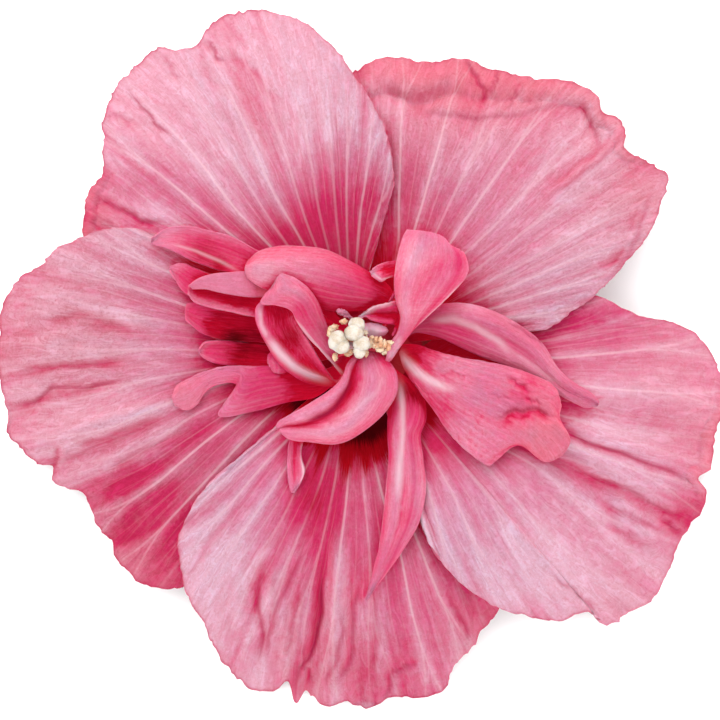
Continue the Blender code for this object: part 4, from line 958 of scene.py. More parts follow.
# %% The upper petaloids
UPPER_PETALOIDS = {
    "petaloid_hood": (
        ((378, 331, 19.6), (379, 332, 19.8), (379, 333, 19.8), (380, 334, 19.7), (380, 335, 19.5)),
        ((394, 312, 22.0), (393, 314, 22.6), (391, 315, 22.8), (389, 316, 22.6), (386, 316, 22.2)),
        ((393, 298, 23.6), (393, 300, 24.2), (392, 302, 24.4), (390, 304, 24.2), (387, 306, 23.4)),
        ((388, 287, 24.6), (389, 291, 25.5), (388, 296, 25.8), (386, 302, 25.4), (382, 307, 24.0)),
        ((371, 275, 25.0), (373, 283, 26.4), (374, 292, 26.6), (374, 301, 26.0), (371, 309, 24.4)),
        ((349, 262, 25.2), (352, 274, 27.1), (354, 287, 27.6), (354, 299, 26.9), (352, 311, 24.8)),
        ((325, 251, 25.3), (328, 265, 27.4), (330, 281, 28.0), (330, 297, 27.2), (329, 311, 25.0)),
        ((301, 248, 25.3), (301, 261, 27.3), (301, 276, 27.9), (302, 291, 27.2), (304, 303, 25.4)),
        ((278, 248, 25.2), (276, 259, 26.8), (275, 271, 27.3), (276, 283, 26.9), (279, 294, 25.7)),
        ((258, 254, 25.0), (257, 262, 26.0), (256, 270, 26.4), (257, 278, 26.2), (261, 287, 25.5)),
        ((248.5, 263, 24.9), (247, 267, 25.2), (246.5, 271, 25.4), (247.5, 275, 25.3), (250, 280, 25.1)),
    ),
    "petaloid_twisted": (
        ((344, 378, 21.0), (345, 375, 21.2), (347, 371, 21.2), (349, 367, 21.0)),
        ((333, 364, 23.0), (336, 361, 23.4), (340, 358, 23.3), (343, 355, 22.8)),
        ((319, 348, 25.0), (323, 345, 25.4), (328, 342, 25.3), (332, 340, 24.6)),
        ((306, 334, 26.6), (312, 331, 27.0), (320, 329, 26.9), (328.5, 330, 26.0)),
        ((297, 320, 27.8), (304, 318, 28.2), (313, 316, 28.3), (323.5, 317, 27.2)),
        ((291, 310, 28.2), (298, 306, 28.8), (307, 303, 29.2), (318, 303, 28.0)),
        ((276, 305, 27.8), (288, 299, 28.8), (299, 293, 29.6), (310, 291, 28.4)),
        ((262, 303, 27.4), (274, 296, 28.6), (286, 288, 29.6), (303, 284, 28.8)),
        ((268, 293, 27.6), (276, 288, 28.6), (284, 282, 29.4), (294, 278.5, 29.0)),
        ((275, 284, 28.4), (278, 281, 28.8), (281, 278, 29.2), (285, 275.5, 29.0)),
        ((279, 278, 28.8), (280, 277, 28.9), (281, 276, 29.0), (282, 275, 29.0)),
    ),
    "petaloid_small_upper": (
        ((392, 300, 22.4), (390, 302, 22.6), (388, 304, 22.4)),
        ((401, 282, 24.2), (398, 286, 24.4), (395, 290, 24.2)),
        ((401, 263, 25.2), (399, 270, 25.0), (396, 278, 25.0)),
        ((388, 262.5, 25.5), (387, 271, 25.1), (386, 279.5, 25.2)),
        ((377, 266.5, 25.6), (378, 273, 25.3), (381, 282.5, 25.4)),
        ((370, 272.5, 25.4), (370.5, 274, 25.4), (372, 276, 25.4)),
    ),
    "small_curl": (
        ((361, 326, 24.6), (361, 330, 24.9), (361, 335, 24.6)),
        ((370, 323.5, 25.2), (371, 330, 25.7), (370, 336, 25.0)),
        ((379, 325, 25.3), (380, 331, 25.8), (379, 336.5, 25.1)),
        ((385, 328, 25.2), (386, 331, 25.6), (384.5, 334, 25.2)),
        ((387, 330.4, 25.2), (387.2, 331, 25.2), (386.6, 331.8, 25.2)),
    ),
    "papery_scrap": (
        ((352, 322, 24.4), (354, 324, 24.5), (356, 326, 24.4)),
        ((345, 311, 25.2), (349, 316, 25.0), (354, 320, 25.3)),
        ((338, 309.5, 25.4), (342, 313, 25.0), (346, 317, 25.4)),
        ((336.5, 311.5, 25.2), (337.5, 312.5, 25.2), (338.5, 314, 25.2)),
    ),
    "petaloid_inner_strap": (
        ((396, 332, 23.6), (394, 334, 23.4), (392, 336, 23.4)),
        ((402, 312, 25.0), (399, 319, 24.6), (395, 327, 24.4)),
        ((397, 303.5, 26.0), (396, 313, 24.9), (394, 325, 24.6)),
        ((386, 304, 26.2), (384, 313, 25.0), (380, 323, 24.8)),
        ((375, 306.5, 26.2), (373, 313, 25.2), (371, 320.5, 25.0)),
        ((365, 312.5, 26.0), (365, 315, 25.5), (365, 317, 25.4)),
        ((358.6, 317.5, 25.7), (358.8, 318, 25.6), (359, 318.6, 25.5)),
    ),
    "petaloid_tongue": (
        ((366, 352, 22.0), (368, 353, 22.2), (370, 354, 22.2), (373, 353, 22.2), (376, 352, 22.0)),
        ((352, 359, 25.6), (355, 359, 26.0), (358, 360, 25.6), (368, 356, 26.2), (380, 355, 25.2)),
        ((347, 366, 26.6), (350, 367, 27.0), (354, 369, 25.9), (370, 366, 27.2), (389, 362.5, 25.6)),
        ((345, 373, 27.0), (348, 375, 27.6), (352, 378, 26.1), (372, 378, 27.8), (396, 374, 25.6)),
        ((341, 380, 27.2), (346, 383, 27.9), (350, 387, 26.3), (370, 392, 28.2), (396.5, 390, 25.6)),
        ((332, 389, 27.2), (339, 393, 27.9), (345, 398, 26.3), (361, 409, 28.2), (387, 408, 25.4)),
        ((317, 399, 27.0), (327, 404, 27.7), (336, 410, 26.2), (349, 424, 27.8), (366, 428, 25.2)),
        ((302, 408, 26.6), (312, 413, 27.2), (321, 419, 25.9), (329, 432, 27.0), (340, 442, 25.0)),
        ((287, 416, 26.0), (295, 420, 26.4), (303, 424, 25.4), (306, 432, 26.2), (309, 440.5, 24.8)),
        ((278.5, 421.5, 25.4), (283, 423, 25.6), (288, 426, 25.0), (289, 431, 25.4), (290, 438, 24.8)),
        ((276.5, 426, 25.0), (278, 427, 25.0), (280, 428, 24.9), (281, 430, 25.0), (283, 433, 24.8)),
    ),
    "petaloid_upright": (
        ((386, 360, 20.6), (387, 360.5, 20.8), (388, 361, 20.8), (389, 360.5, 20.8), (390, 360, 20.6)),
        ((391, 343, 23.4), (394, 344, 24.2), (397, 345, 24.4), (400, 344.5, 24.2), (402, 343, 23.6)),
        ((398, 332, 25.4), (401, 332, 26.4), (405, 333, 26.4), (409, 332, 26.2), (413, 329, 25.6)),
        ((400.5, 316, 27.6), (404, 317, 28.8), (410, 318, 28.4), (418, 316, 28.2), (426, 317, 27.4)),
        ((396, 300, 29.2), (404, 301, 30.6), (414, 303, 29.8), (427, 303, 29.8), (441, 303, 28.8)),
        ((394.5, 284, 30.4), (406, 286, 32.0), (421, 289, 30.8), (437, 290, 30.8), (453, 291, 29.6)),
        ((396, 266, 31.2), (411, 267, 33.0), (431, 271, 31.6), (449, 274, 31.4), (464.5, 277, 30.2)),
        ((400, 248, 31.6), (418, 250, 33.4), (441, 257, 32.2), (456, 261, 31.6), (466.5, 266, 30.6)),
        ((404, 236, 31.8), (424, 237, 33.2), (445, 247, 32.4), (454, 251.5, 31.8), (461, 252.5, 31.0)),
        ((407, 231.5, 31.8), (422, 233, 32.9), (440, 237, 32.6), (447.5, 246, 32.0), (457, 251, 31.3)),
    ),
}
PETALOIDS = {**LOWER_PETALOIDS, **UPPER_PETALOIDS}
print("petaloids:", len(PETALOIDS))


# %% A smooth sheet through a net of places

def net_sheet(net, columns, rows):
    """Rows by columns of points on a smooth sheet through the net, in metres."""
    net = np.asarray(net, float)
    points = np.concatenate([plan(net[..., :2]), net[..., 2:] * MM], -1)
    steps = np.linalg.norm(np.diff(points, axis=0), axis=2).mean(axis=1)
    along = np.concatenate([[0], np.cumsum(steps)]) / steps.sum()
    across = np.linspace(0, 1, net.shape[1])
    down = spline_weights(along, np.linspace(0, 1, rows + 1))
    over = spline_weights(across, np.linspace(0, 1, columns + 1))
    return np.einsum("rs,snk,cn->rck", down, points, over)


# %% [markdown]
# Blades that lie on one another must not cross. A height map of the tuft, built from below, shows how high each new
# blade has to lie, and the blade is raised smoothly where it would cut into what is below it. The outer petals come
# first on the pile, with all their creases.

# %% The pile of blades
class Pile:
    """The highest point so far over each small square of the plan, so that a new blade lies on it."""

    CELL = 0.0004
    CELLS_EACH_WAY = 130
    FINER = 5
    ROUNDS = 2
    SOFTENING_STEPS = 12
    SOFTENING = 0.97
    CLEARANCE = 0.00015

    def __init__(self):
        self.top = np.zeros((2 * self.CELLS_EACH_WAY, 2 * self.CELLS_EACH_WAY))

    def finer(self, grid):
        """Points between the grid's own, on its flat facets."""
        r = np.linspace(0, grid.shape[0] - 1, (grid.shape[0] - 1) * self.FINER + 1)
        c = np.linspace(0, grid.shape[1] - 1, (grid.shape[1] - 1) * self.FINER + 1)
        return between(grid, r, c)

    def cells(self, points):
        places = (points[..., :2] / self.CELL).astype(int) + self.CELLS_EACH_WAY
        places = np.clip(places, 0, 2 * self.CELLS_EACH_WAY - 1)
        return places[..., 0], places[..., 1]

    def add(self, points, thickness):
        np.maximum.at(self.top, self.cells(points), points[..., 2] + thickness / 2)

    def spread(self):
        """The pile's heights, each raised to its highest neighbour's."""
        top = self.top
        for axis in (0, 1):
            top = np.maximum(top, np.maximum(np.roll(top, 1, axis), np.roll(top, -1, axis)))
        return top

    def shortfall(self, grid, top):
        """How far each point of the grid must rise for the facets round it to clear the pile."""
        middle = self.finer(grid)
        short = top[self.cells(middle)] + self.CLEARANCE + PETALOID_THICKNESS / 2 - middle[..., 2]
        k = self.FINER
        wide = np.pad(short, k, mode="edge")
        rows, columns = short.shape
        shifts = [(a, b) for a in range(0, 2 * k + 1, 2) for b in range(0, 2 * k + 1, 2)]
        nearby = [wide[a : a + rows, b : b + columns] for a, b in shifts]
        return np.maximum(np.max(nearby, axis=0)[::k, ::k], 0)

    def softened(self, need):
        """The same rise or more at each point, falling off softly along and across the blade."""
        rise = need
        for _ in range(self.SOFTENING_STEPS):
            wide = np.pad(rise, 1, mode="edge")
            mean = (wide[:-2, 1:-1] + wide[2:, 1:-1] + wide[1:-1, :-2] + wide[1:-1, 2:]) / 4
            rise = np.maximum(need, mean * self.SOFTENING)
        return rise

    def lifted(self, grid):
        """The grid raised until it clears the pile, and added to it."""
        top = self.spread()
        for _ in range(self.ROUNDS):
            grid = grid.copy()
            grid[..., 2] += self.softened(self.shortfall(grid, top))
        self.add(self.finer(grid), PETALOID_THICKNESS)
        return grid


def between(grid, r, c):
    """A grid of rows by columns read at fractional row and column numbers."""
    i = np.minimum(r.astype(int), grid.shape[0] - 2)
    j = np.minimum(c.astype(int), grid.shape[1] - 2)
    a = (r - i)[:, None, None]
    b = (c - j)[None, :, None]
    low = grid[i][:, j] * (1 - b) + grid[i][:, j + 1] * b
    high = grid[i + 1][:, j] * (1 - b) + grid[i + 1][:, j + 1] * b
    return low * (1 - a) + high * a


# %% How high each petaloid lies
COARSE_NET = (12, 20)
pile = Pile()
for name in OUTER_PETALS:
    pile.add(sheets[name]["points"], PETAL_THICKNESS)
rises = {}
for name, net in PETALOIDS.items():
    coarse = net_sheet(net, *COARSE_NET)
    rises[name] = (pile.lifted(coarse) - coarse)[..., 2:]
    print(name, "raised by up to", round(rises[name].max() / MM, 1), "mm")

# %% [markdown]
# ## The petaloids' own marks
# Every petaloid gets the number of its `veins`, how crumpled it is in mm, how deep the pink of its `foot` is, and the
# same patches and `creases` as the petals. `bands` of deep pink run along it (place across, half-width, amount), and
# white `ribs` have a path on the picture, a half-width in mm and a strength. `tone` makes the whole blade lighter or
# darker, `open` is how much of the hidden sky counts for its colour, and `seed` picks other random crumples. The deep
# foot is partly the petaloid's own crimson base and partly painted shade deep in the tuft, and the crimson, dark and
# shade patches in the gaps between blades are painted shade.

# %% Marks of each petaloid
PETALOID_MARKS = {
    "petaloid_torn_strip": {
        "veins": 3, "crumple": 0.1, "deep": ((300, 440, 16, 0.2),), "foot": 0.2, "tone": 0.04,
        "ribs": ((((302, 443), (303, 458), (305, 474), (299, 486)), 0.18, 0.7),),
    },
    # These two lie in shadow: their crimson and dark patches are partly their own deep pink, partly painted shade.
    "petaloid_left_low": {
        "veins": 5, "crumple": 0.12, "deep": ((230, 354, 40, 0.7), (290, 354, 30, 0.6)),
        "crimson": ((250, 353, 24, 0.9), (300, 352, 30, 1.0)), "coral": ((205, 350, 10, 0.5),), "foot": 1.0,
        "dark": ((245, 346, 12, 0.5), (268, 350, 12, 0.5)), "shade": ((242, 354, 18, 0.4),),
    },
    "petaloid_left_dark": {
        "veins": 6, "crumple": 0.12, "deep": ((210, 320, 40, 0.9),),
        "crimson": ((235, 328, 24, 1.0), (270, 328, 40, 1.0), (215, 332, 12, 0.6)), "coral": ((190, 312, 14, 0.5),),
        "foot": 1.0, "dark": ((234, 340, 13, 0.8), (258, 336, 16, 0.5)), "shade": ((232, 338, 16, 0.4),),
    },
    "petaloid_left_tip": {
        "veins": 6, "crumple": 0.1, "deep": ((192, 288, 18, 0.7), (250, 300, 40, 0.9)),
        "pale": ((182, 268, 10, 0.3),),
        "foot": 1.0, "crimson": ((222, 306, 12, 0.8),),
    },
    "petaloid_upper_left": {
        "veins": 8, "crumple": 0.12, "deep": ((200, 256, 24, 0.9), (240, 268, 26, 0.6), (300, 300, 40, 0.8)),
        "pale": ((172, 234, 12, 0.3), (250, 256, 16, 0.2)),
        "foot": 0.9, "crimson": ((222, 268, 10, 0.9), (204, 254, 18, 0.6)), "tone": -0.04,
        "shade": ((202, 252, 22, 0.14),),
        "ribs": ((((172, 245), (196, 252), (222, 263), (246, 276)), 0.2, 0.4),),
    },
    "petaloid_hooked": {
        "veins": 8, "crumple": 0.18, "deep": ((250, 388, 26, 0.6), (290, 385, 30, 0.9)), "foot": 0.9,
        "crimson": ((305, 375, 22, 0.3), (335, 366, 26, 0.8)), "pale": ((182, 398, 14, 0.3),),
        "coral": ((185, 392, 20, 0.6),),
    },
    "petaloid_folded_left": {
        "veins": 8, "crumple": 0.1, "deep": ((300, 315, 30, 0.7),), "pale": ((215, 282, 24, 0.2),),
        "bands": ((0.72, 0.16, 0.6), (0.5, 0.12, 0.9)), "crimson": ((240, 302, 16, 0.3), (270, 308, 16, 0.4)),
        "tone": -0.16,
    },
    "small_lobe": {"veins": 4, "crumple": 0.06, "deep": ((280, 362, 16, 0.4),)},
    "small_curl": {
        "veins": 3, "crumple": 0.05, "pale": ((376, 330, 20, 0.7),), "foot": 0.0, "tone": 0.25, "open": 0.4,
        "ribs": ((((360, 331), (371, 331.6), (384, 332)), 0.5, 0.85),),
    },
    "papery_scrap": {
        "veins": 3, "crumple": 0.1, "tone": 0.25, "open": 0.5, "coral": ((345, 315, 14, 0.5),),
        "pale": ((345, 315, 14, 0.3),),
    },
    "petaloid_keeled": {
        "veins": 9, "crumple": 0.08, "deep": ((275, 325, 18, 0.6), (330, 376, 14, 0.3)),
        "crimson": ((280, 314, 15, 0.9), (292, 336, 14, 0.85)), "bands": ((0.02, 0.1, 0.8),), "foot": 0.4,
        "shade": ((290, 334, 12, 0.15),),
        "ribs": ((((268, 338), (283, 356), (295, 367), (309, 374), (324, 379), (336, 382)), 0.42, 0.75),
                 (((260, 308), (262, 325), (270, 341)), 0.2, 0.5)),
    },
    "petaloid_long_right": {
        "veins": 9, "crumple": 0.12, "deep": ((425, 328, 24, 0.8), (460, 340, 26, 0.7), (505, 342, 24, 0.3)),
        # Painted light: the pale patch and the negative shade at (470, 306) brighten its steep top edge.
        "pale": ((470, 306, 20, 1.0), (510, 322, 16, 0.5), (550, 368, 16, 0.4)), "bands": ((0.5, 0.16, 0.35),),
        "foot": 0.3,
        "tone": -0.12, "shade": ((470, 307, 13, -0.3),), "open": 0.5,
        "creases": ((((505, 322), (525, 334), (542, 350)), -0.25, 0.3, 0.2, 0.5),),
        "ribs": ((((428, 321), (453, 319), (474, 327), (497, 341), (509, 353), (519, 363)), 0.5, 0.5),
                 (((500, 345), (520, 358), (545, 375), (570, 390)), 0.3, 0.25)),
    },
    "petaloid_lower_strap": {
        "veins": 8, "crumple": 0.12, "deep": ((413, 395, 18, 0.9), (388, 400, 10, 0.4), (420, 520, 20, 0.4),
                                              (390, 560, 22, 0.35)),
        # Painted shade: the deep, crimson and shade patches near (414, 393) fill the shadowed gap beside the crumpled
        # petaloid.
        "crimson": ((416, 392, 14, 1.0),), "shade": ((412, 393, 12, 0.55),), "pale": ((400, 480, 40, 0.5),),
        "bands": ((0.72, 0.1, 0.6), (0.08, 0.08, 0.3)),
        "ribs": ((((399, 378), (402, 407), (402, 436), (399, 466), (397, 510)), 0.38, 0.65),),
    },
    "petaloid_crumpled": {
        "veins": 14, "crumple": 0.34, "seed": 7, "tone": -0.07, "creases": (
            (((494, 420), (508, 412), (524, 409), (541, 411), (556, 419)), -0.2, 0.4, 0.6, 0.7),
            (((503, 376), (512, 381), (522, 387), (530, 394)), -0.3, 0.3, 0.1, 0.5),
            (((522, 397), (531, 402), (542, 404)), -0.35, 0.3, 0.1, 0.6),
            (((486, 393), (500, 398), (512, 398)), -0.2, 0.25, 0.1, 0.35),
        ), "deep": ((416, 356, 12, 1.0), (520, 398, 14, 0.5), (438, 410, 20, 0.7)),
        "foot": 0.25,
        "crimson": ((416, 354, 8, 0.4),), "pale": ((455, 375, 26, 0.5), (470, 440, 24, 0.4)),
        "coral": ((545, 440, 34, 0.9), (535, 395, 24, 0.5)),
        "ribs": ((((400.5, 349), (403.5, 359), (416.7, 372), (431, 381), (446, 388), (462, 391)), 0.5, 0.75),),
    },
    "petaloid_hood": {
        # Painted shade and light: its lower side takes a deeper pink and its top a paler one.
        "veins": 12, "crumple": 0.08, "deep": ((350, 302, 28, 1.0), (320, 304, 20, 0.6), (385, 298, 14, 0.9)),
        "foot": 0.7,
        "tone": -0.17, "crimson": ((375, 292, 9, 0.5),), "pale": ((300, 262, 26, 0.4), (266, 270, 20, 0.9)),
    },
    "petaloid_twisted": {
        "veins": 7, "crumple": 0.12, "deep": ((318, 318, 20, 0.7), (300, 310, 12, 0.6)), "foot": 0.5, "tone": -0.1,
        "shade": ((322, 345, 14, -0.15),),
        "pale": ((290, 290, 16, 0.4), (335, 360, 14, 0.3)),
        "ribs": ((((345, 376), (319, 347), (297, 320), (291, 309)), 0.16, 0.6),),
    },
    "petaloid_small_upper": {
        "veins": 4, "crumple": 0.06, "pale": ((380, 270, 20, 0.3),),
        "ribs": ((((371, 273), (381, 281), (393, 277)), 0.14, 0.5),),
    },
    "petaloid_inner_strap": {
        "veins": 5, "crumple": 0.06, "deep": ((385, 315, 20, 0.9),), "crimson": ((380, 318, 12, 0.3),),
        "ribs": ((((358, 318), (365, 312.5), (375, 306.5), (386, 303.5), (397, 303)), 0.32, 0.7),),
    },
    "petaloid_tongue": {
        "veins": 10, "crumple": 0.1, "pale": ((360, 392, 30, 0.5), (328, 428, 26, 0.6), (300, 418, 12, 0.3)),
        "foot": 0.35,
        "creases": ((((352, 369), (349, 385), (343, 395), (333, 406), (320, 415),
                    (303, 423)), -0.1, 0.75, 0.0, 0.9),),
        "ribs": ((((384, 372), (376, 392), (352, 412), (322, 424)), 0.25, 0.25),),
    },
    "petaloid_upright": {
        "veins": 12, "crumple": 0.14, "deep": ((440, 275, 20, 0.35), (456, 262, 10, 0.5)), "foot": 0.2,
        "pale": ((412, 260, 20, 0.9), (404, 310, 16, 0.8)), "bands": ((0.86, 0.06, 0.5),),
        "shade": ((406, 311, 12, -0.06),),
        "ribs": ((((413, 330), (441, 303), (466, 277)), 0.14, 0.7), (((388, 360), (397, 345),
                 (401, 332)), 0.4, 0.35)),
    },
}
print("petaloids with marks:", len(PETALOID_MARKS))

# %% [markdown]
# A fine petaloid is the same net at a finer step, raised as the coarse one was, with puckers between its veins, a
# crinkled edge and crumples of its own.

# %% Fine petaloids
PETALOID_GRID = (40, 88)
SMALL_GRID = (24, 48)
CRUMPLED_GRID = (104, 88)
LENGTHS_OF_NOISE = 1.1
# How much painted shade the crumples' hollows get
CREVICE_SHADE = 0.5


def across_share(points):
    """How far across the blade each point is, by real length, from 0 at one edge to 1 at the other."""
    steps = np.linalg.norm(np.diff(points, axis=1), axis=2)
    passed = np.concatenate([np.zeros((len(points), 1)), np.cumsum(steps, axis=1)], axis=1)
    return passed / passed[:, -1:]


def banded(share, bands):
    """Lengthwise bands, each a place across the blade, a half-width and an amount."""
    return sum((amount * bump(share, at, half) for at, half, amount in bands), np.zeros_like(share))


def ribbed(points, ribs):
    """White ribs along hand-drawn paths, softly fading at both ends."""
    white = np.zeros(points.shape[:2])
    for path, half, strength in ribs:
        away, passed = beside(points[..., :2], path)
        # White ribs along drawn paths, softly fading at both ends.
        taper = smooth(passed / 0.2 + 0.2) * smooth((1 - passed) / 0.3)
        white = np.maximum(white, strength * np.exp(-((away / half) ** 2)) * taper)
    return white


def petaloid_sheet(name, net):
    """Everything that a fine petaloid needs: its points, and the numbers that its finish reads."""
    seed = 1000 + list(PETALOIDS).index(name) * 50
    marks = PETALOID_MARKS[name]
    seed += marks.get("seed", 0)
    columns, rows = CRUMPLED_GRID if name == "petaloid_crumpled" else PETALOID_GRID
    if len(net) <= 5:
        columns, rows = SMALL_GRID
    points = net_sheet(net, columns, rows)
    r = np.linspace(0, COARSE_NET[1], rows + 1)
    c = np.linspace(0, COARSE_NET[0], columns + 1)
    points[..., 2:] += between(rises[name], r, c)
    u = across_share(points)
    v = np.linspace(0, 1, rows + 1)[:, None] * np.ones_like(u)
    phase = marks["veins"] * (u - 0.5) + 0.25 * soft_noise(u * 3, v * 3, seed)
    begin = smooth(v * 4)
    detail = 0.012 * np.cos(2 * math.pi * phase) * begin
    detail = detail + 0.1 * soft_noise(u * 3, v * 7, seed + 1) * begin
    edge = (2 * np.abs(u - 0.5)) ** 5
    detail = detail + 0.14 * soft_noise(u * 1.5, v * 18, seed + 2) * edge * begin
    x, y = points[..., 0] / MM / LENGTHS_OF_NOISE + 60, points[..., 1] / MM / LENGTHS_OF_NOISE + 60
    wander = 0.8 * soft_noise(x, y, seed + 3)
    folds = np.abs(soft_noise(u * 9 + wander, v * 5, seed + 5)) + 0.6 * np.abs(soft_noise(1.6 * x, 1.6 * y, seed + 4))
    detail = detail + marks["crumple"] * (0.4 - folds) * begin
    # Drawn creases fold the petaloid, and painted shade darkens them.
    fold, crease = creased(points[..., :2], marks.get("creases", ()), seed + 6)
    detail = detail + fold * begin
    points[..., 2] += detail * MM
    # The deep foot: partly the petaloid's own crimson base, partly painted shade deep in the tuft.
    deep = marks.get("foot", 0.6) * smooth(1 - v / 0.65) + banded(u, marks.get("bands", ()))
    # Painted shade: the crumples' hollows take a deeper pink.
    crevice_shade = np.clip(-marks["crumple"] * (0.4 - folds), 0, 1)
    deep = deep + CREVICE_SHADE * crevice_shade
    tones = {key: patched(points, marks.get(key, ())) for key in TONES}
    return {
        "points": points, "along": 0.3 + 0.6 * v, "phase": phase, "deep": tones["deep"] + deep, "pale": tones["pale"],
        "coral": np.clip(tones["coral"] + 0.1, 0, 1), "crimson": tones["crimson"],
        "white": ribbed(points, marks.get("ribs", ())), "crease": crease, "dark": tones["dark"],
        "tone": marks.get("tone", 0.0) - patched(points, marks.get("shade", ()), -1),
    }


for name, net in PETALOIDS.items():
    sheets[name] = petaloid_sheet(name, net)
print("sheets in all:", len(sheets))

# %% [markdown]
# Light that reaches a gap between petals has passed through pink tissue or come off it several times, so the gaps
# glow crimson rather than grey. The finish paints this from the pile: for each point we look out in twelve
# directions and note how much of the sky higher blades hide. Hidden places are painted a deeper pink and crimson,
# their red is lifted a little, and the deepest get a faint crimson emission for the light let through. At the outer
# petals' rims, which lie in plain light, the red is held back.

# %% Light lost among the blades
LOOK_WAYS = 12
LOOK_DISTANCES = (0.0008, 0.0016, 0.003, 0.005)


def hidden_sky(points):
    """How much of the sky the pile hides from each point, from 0 in the open to 1 deep in a gap."""
    hidden = np.zeros(points.shape[:2])
    for angle in np.arange(LOOK_WAYS) * 2 * math.pi / LOOK_WAYS:
        steepest = np.zeros(points.shape[:2])
        for distance in LOOK_DISTANCES:
            away = points[..., :2] + distance * np.array([math.cos(angle), math.sin(angle)])
            rise = pile.top[pile.cells(away)] - points[..., 2]
            steepest = np.maximum(steepest, rise / np.hypot(rise, distance))
        hidden += steepest / LOOK_WAYS
    return hidden


# %% Every blade in place
STANDS_FOR = {
    "small_lobe": "petaloid_keeled", "small_curl": "petaloid_inner_strap", "papery_scrap": "petaloid_inner_strap",
}
OUTER_GLOW = 0.72
HIDDEN_GLOW = 0.5
RIM_GLOW = 0.09
made = {}
for name, sheet in sheets.items():
    outer = name in OUTER_PETALS
    hidden = hidden_sky(sheet["points"]) * (OUTER_GLOW if outer else PETALOID_MARKS[name].get("open", 1))
    # Painted shade and light: a deeper pink and crimson where the sky is hidden, a lifted red, and a faint crimson
    # emission.
    sheet["deep"] = np.clip(sheet["deep"] + 0.9 * smooth((hidden - 0.25) / 0.4), 0, 1)
    sheet["crimson"] = np.clip(sheet["crimson"] + smooth((hidden - 0.45) / 0.35), 0, 1)
    sheet["glow"] = HIDDEN_GLOW * hidden - RIM_GLOW * outer * smooth((sheet["along"] - 0.35) / 0.5)
    sheet["through"] = smooth((hidden - 0.5) / 0.4) * (1 - 0.6 * np.clip(sheet["dark"], 0, 1))
    tissue, thickness = (petal_tissue, PETAL_THICKNESS) if outer else (petaloid_tissue, PETALOID_THICKNESS)
    made[name] = blade("fine_" + name, sheet, thickness, tissue)
    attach(made[name], "root")
    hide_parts(STANDS_FOR.get(name, name))
print("faces of all blades:", sum(len(piece.data.polygons) for piece in made.values()))

# %% [markdown]
# ## Stamens and style
# In the middle stands the column that the stamens grow from. Its golden anthers have burst open and are covered in
# big round pollen. The style comes up through the column and ends in short branches with round, velvety cream heads,
# of which the picture shows six. Stems are tubes: a bmesh grid bent round a path, with its seam and ends joined.
# Heads and anthers are icospheres, which have no poles, made lumpy with noise.

# %% Closed round forms
def closed_form(grid):
    """A bmesh grid bent to a closed form, with its seam and ends joined and its faces outwards."""
    rows, columns = grid.shape[:2]
    shape = bmesh.new()
    bmesh.ops.create_grid(shape, x_segments=columns - 1, y_segments=rows - 1, size=0.5)
    for vertex, point in zip(shape.verts, grid.reshape(-1, 3)):
        vertex.co = point
    bmesh.ops.remove_doubles(shape, verts=shape.verts, dist=1e-6)
    bmesh.ops.recalc_face_normals(shape, faces=shape.faces)
    return shape


def turned(profiles, centre):
    """A round form from one profile of radius and height in mm for each step round its axis."""
    angle = np.linspace(0, 2 * math.pi, len(profiles) + 1)
    radius, height = np.moveaxis(np.array([*profiles, profiles[0]], float) * MM, 2, 0)
    x, y = centre[0] + radius.T * np.cos(angle), centre[1] + radius.T * np.sin(angle)
    return closed_form(np.stack([x, y, height.T], -1))


def evenly(profile, count):
    """A profile of radius and height in mm, read at even steps."""
    profile = np.array(profile)
    passed = np.concatenate([[0], np.cumsum(np.hypot(*np.diff(profile, axis=0).T))])
    at = np.linspace(0, passed[-1], count)
    return np.stack([np.interp(at, passed, column) for column in profile.T], -1)


TUBE_STEPS = 14


def tube(points, radii, sides=10):
    """A tapering round stem along a smooth curve through a few points, closed at both ends."""
    knots = np.linspace(0, 1, len(points))
    path = spline_weights(knots, np.linspace(0, 1, TUBE_STEPS)) @ np.array(points)
    thick = np.interp(np.linspace(0, 1, TUBE_STEPS), knots, radii)
    angle = np.linspace(0, 2 * math.pi, sides + 1)
    rings = [np.repeat(path[:1], sides + 1, axis=0)]
    for point, heading, radius in zip(path, np.gradient(path, axis=0), thick):
        over = Vector(heading).cross(Vector((0.31, 0.95, 0.05))).normalized()
        up = Vector(heading).cross(over).normalized()
        rings.append(point + radius * (np.outer(np.cos(angle), over) + np.outer(np.sin(angle), up)))
    rings.append(np.repeat(path[-1:], sides + 1, axis=0))
    return closed_form(np.array(rings))


def lump(centre, size, divisions, lumpiness, pitch):
    """A rounded lump: an icosphere scaled to its three radii, with soft lumps of a pitch in metres."""
    shape = bmesh.new()
    bmesh.ops.create_icosphere(shape, subdivisions=divisions, radius=1)
    for vertex in shape.verts:
        out = vertex.co.copy()
        vertex.co = Vector([a * b for a, b in zip(out, size)])
        vertex.co += Vector(centre)
        vertex.co += out * lumpiness * noise.noise(vertex.co / pitch)
    return shape


def piece(name, shapes, finish, node, slot):
    """One object from several bmeshes, riding on the flower in place of a node of the frame."""
    whole = bmesh.new()
    for shape in shapes:
        part = bpy.data.meshes.new("part")
        shape.to_mesh(part)
        shape.free()
        whole.from_mesh(part)
        bpy.data.meshes.remove(part)
    mesh = bpy.data.meshes.new(name)
    whole.to_mesh(mesh)
    whole.free()
    mesh.materials.append(finish)
    mesh.shade_smooth()
    made = bpy.data.objects.new(name, mesh)
    bpy.context.scene.collection.objects.link(made)
    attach(made, "root")
    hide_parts(node)
    print(name, len(mesh.polygons), "faces")
    return made
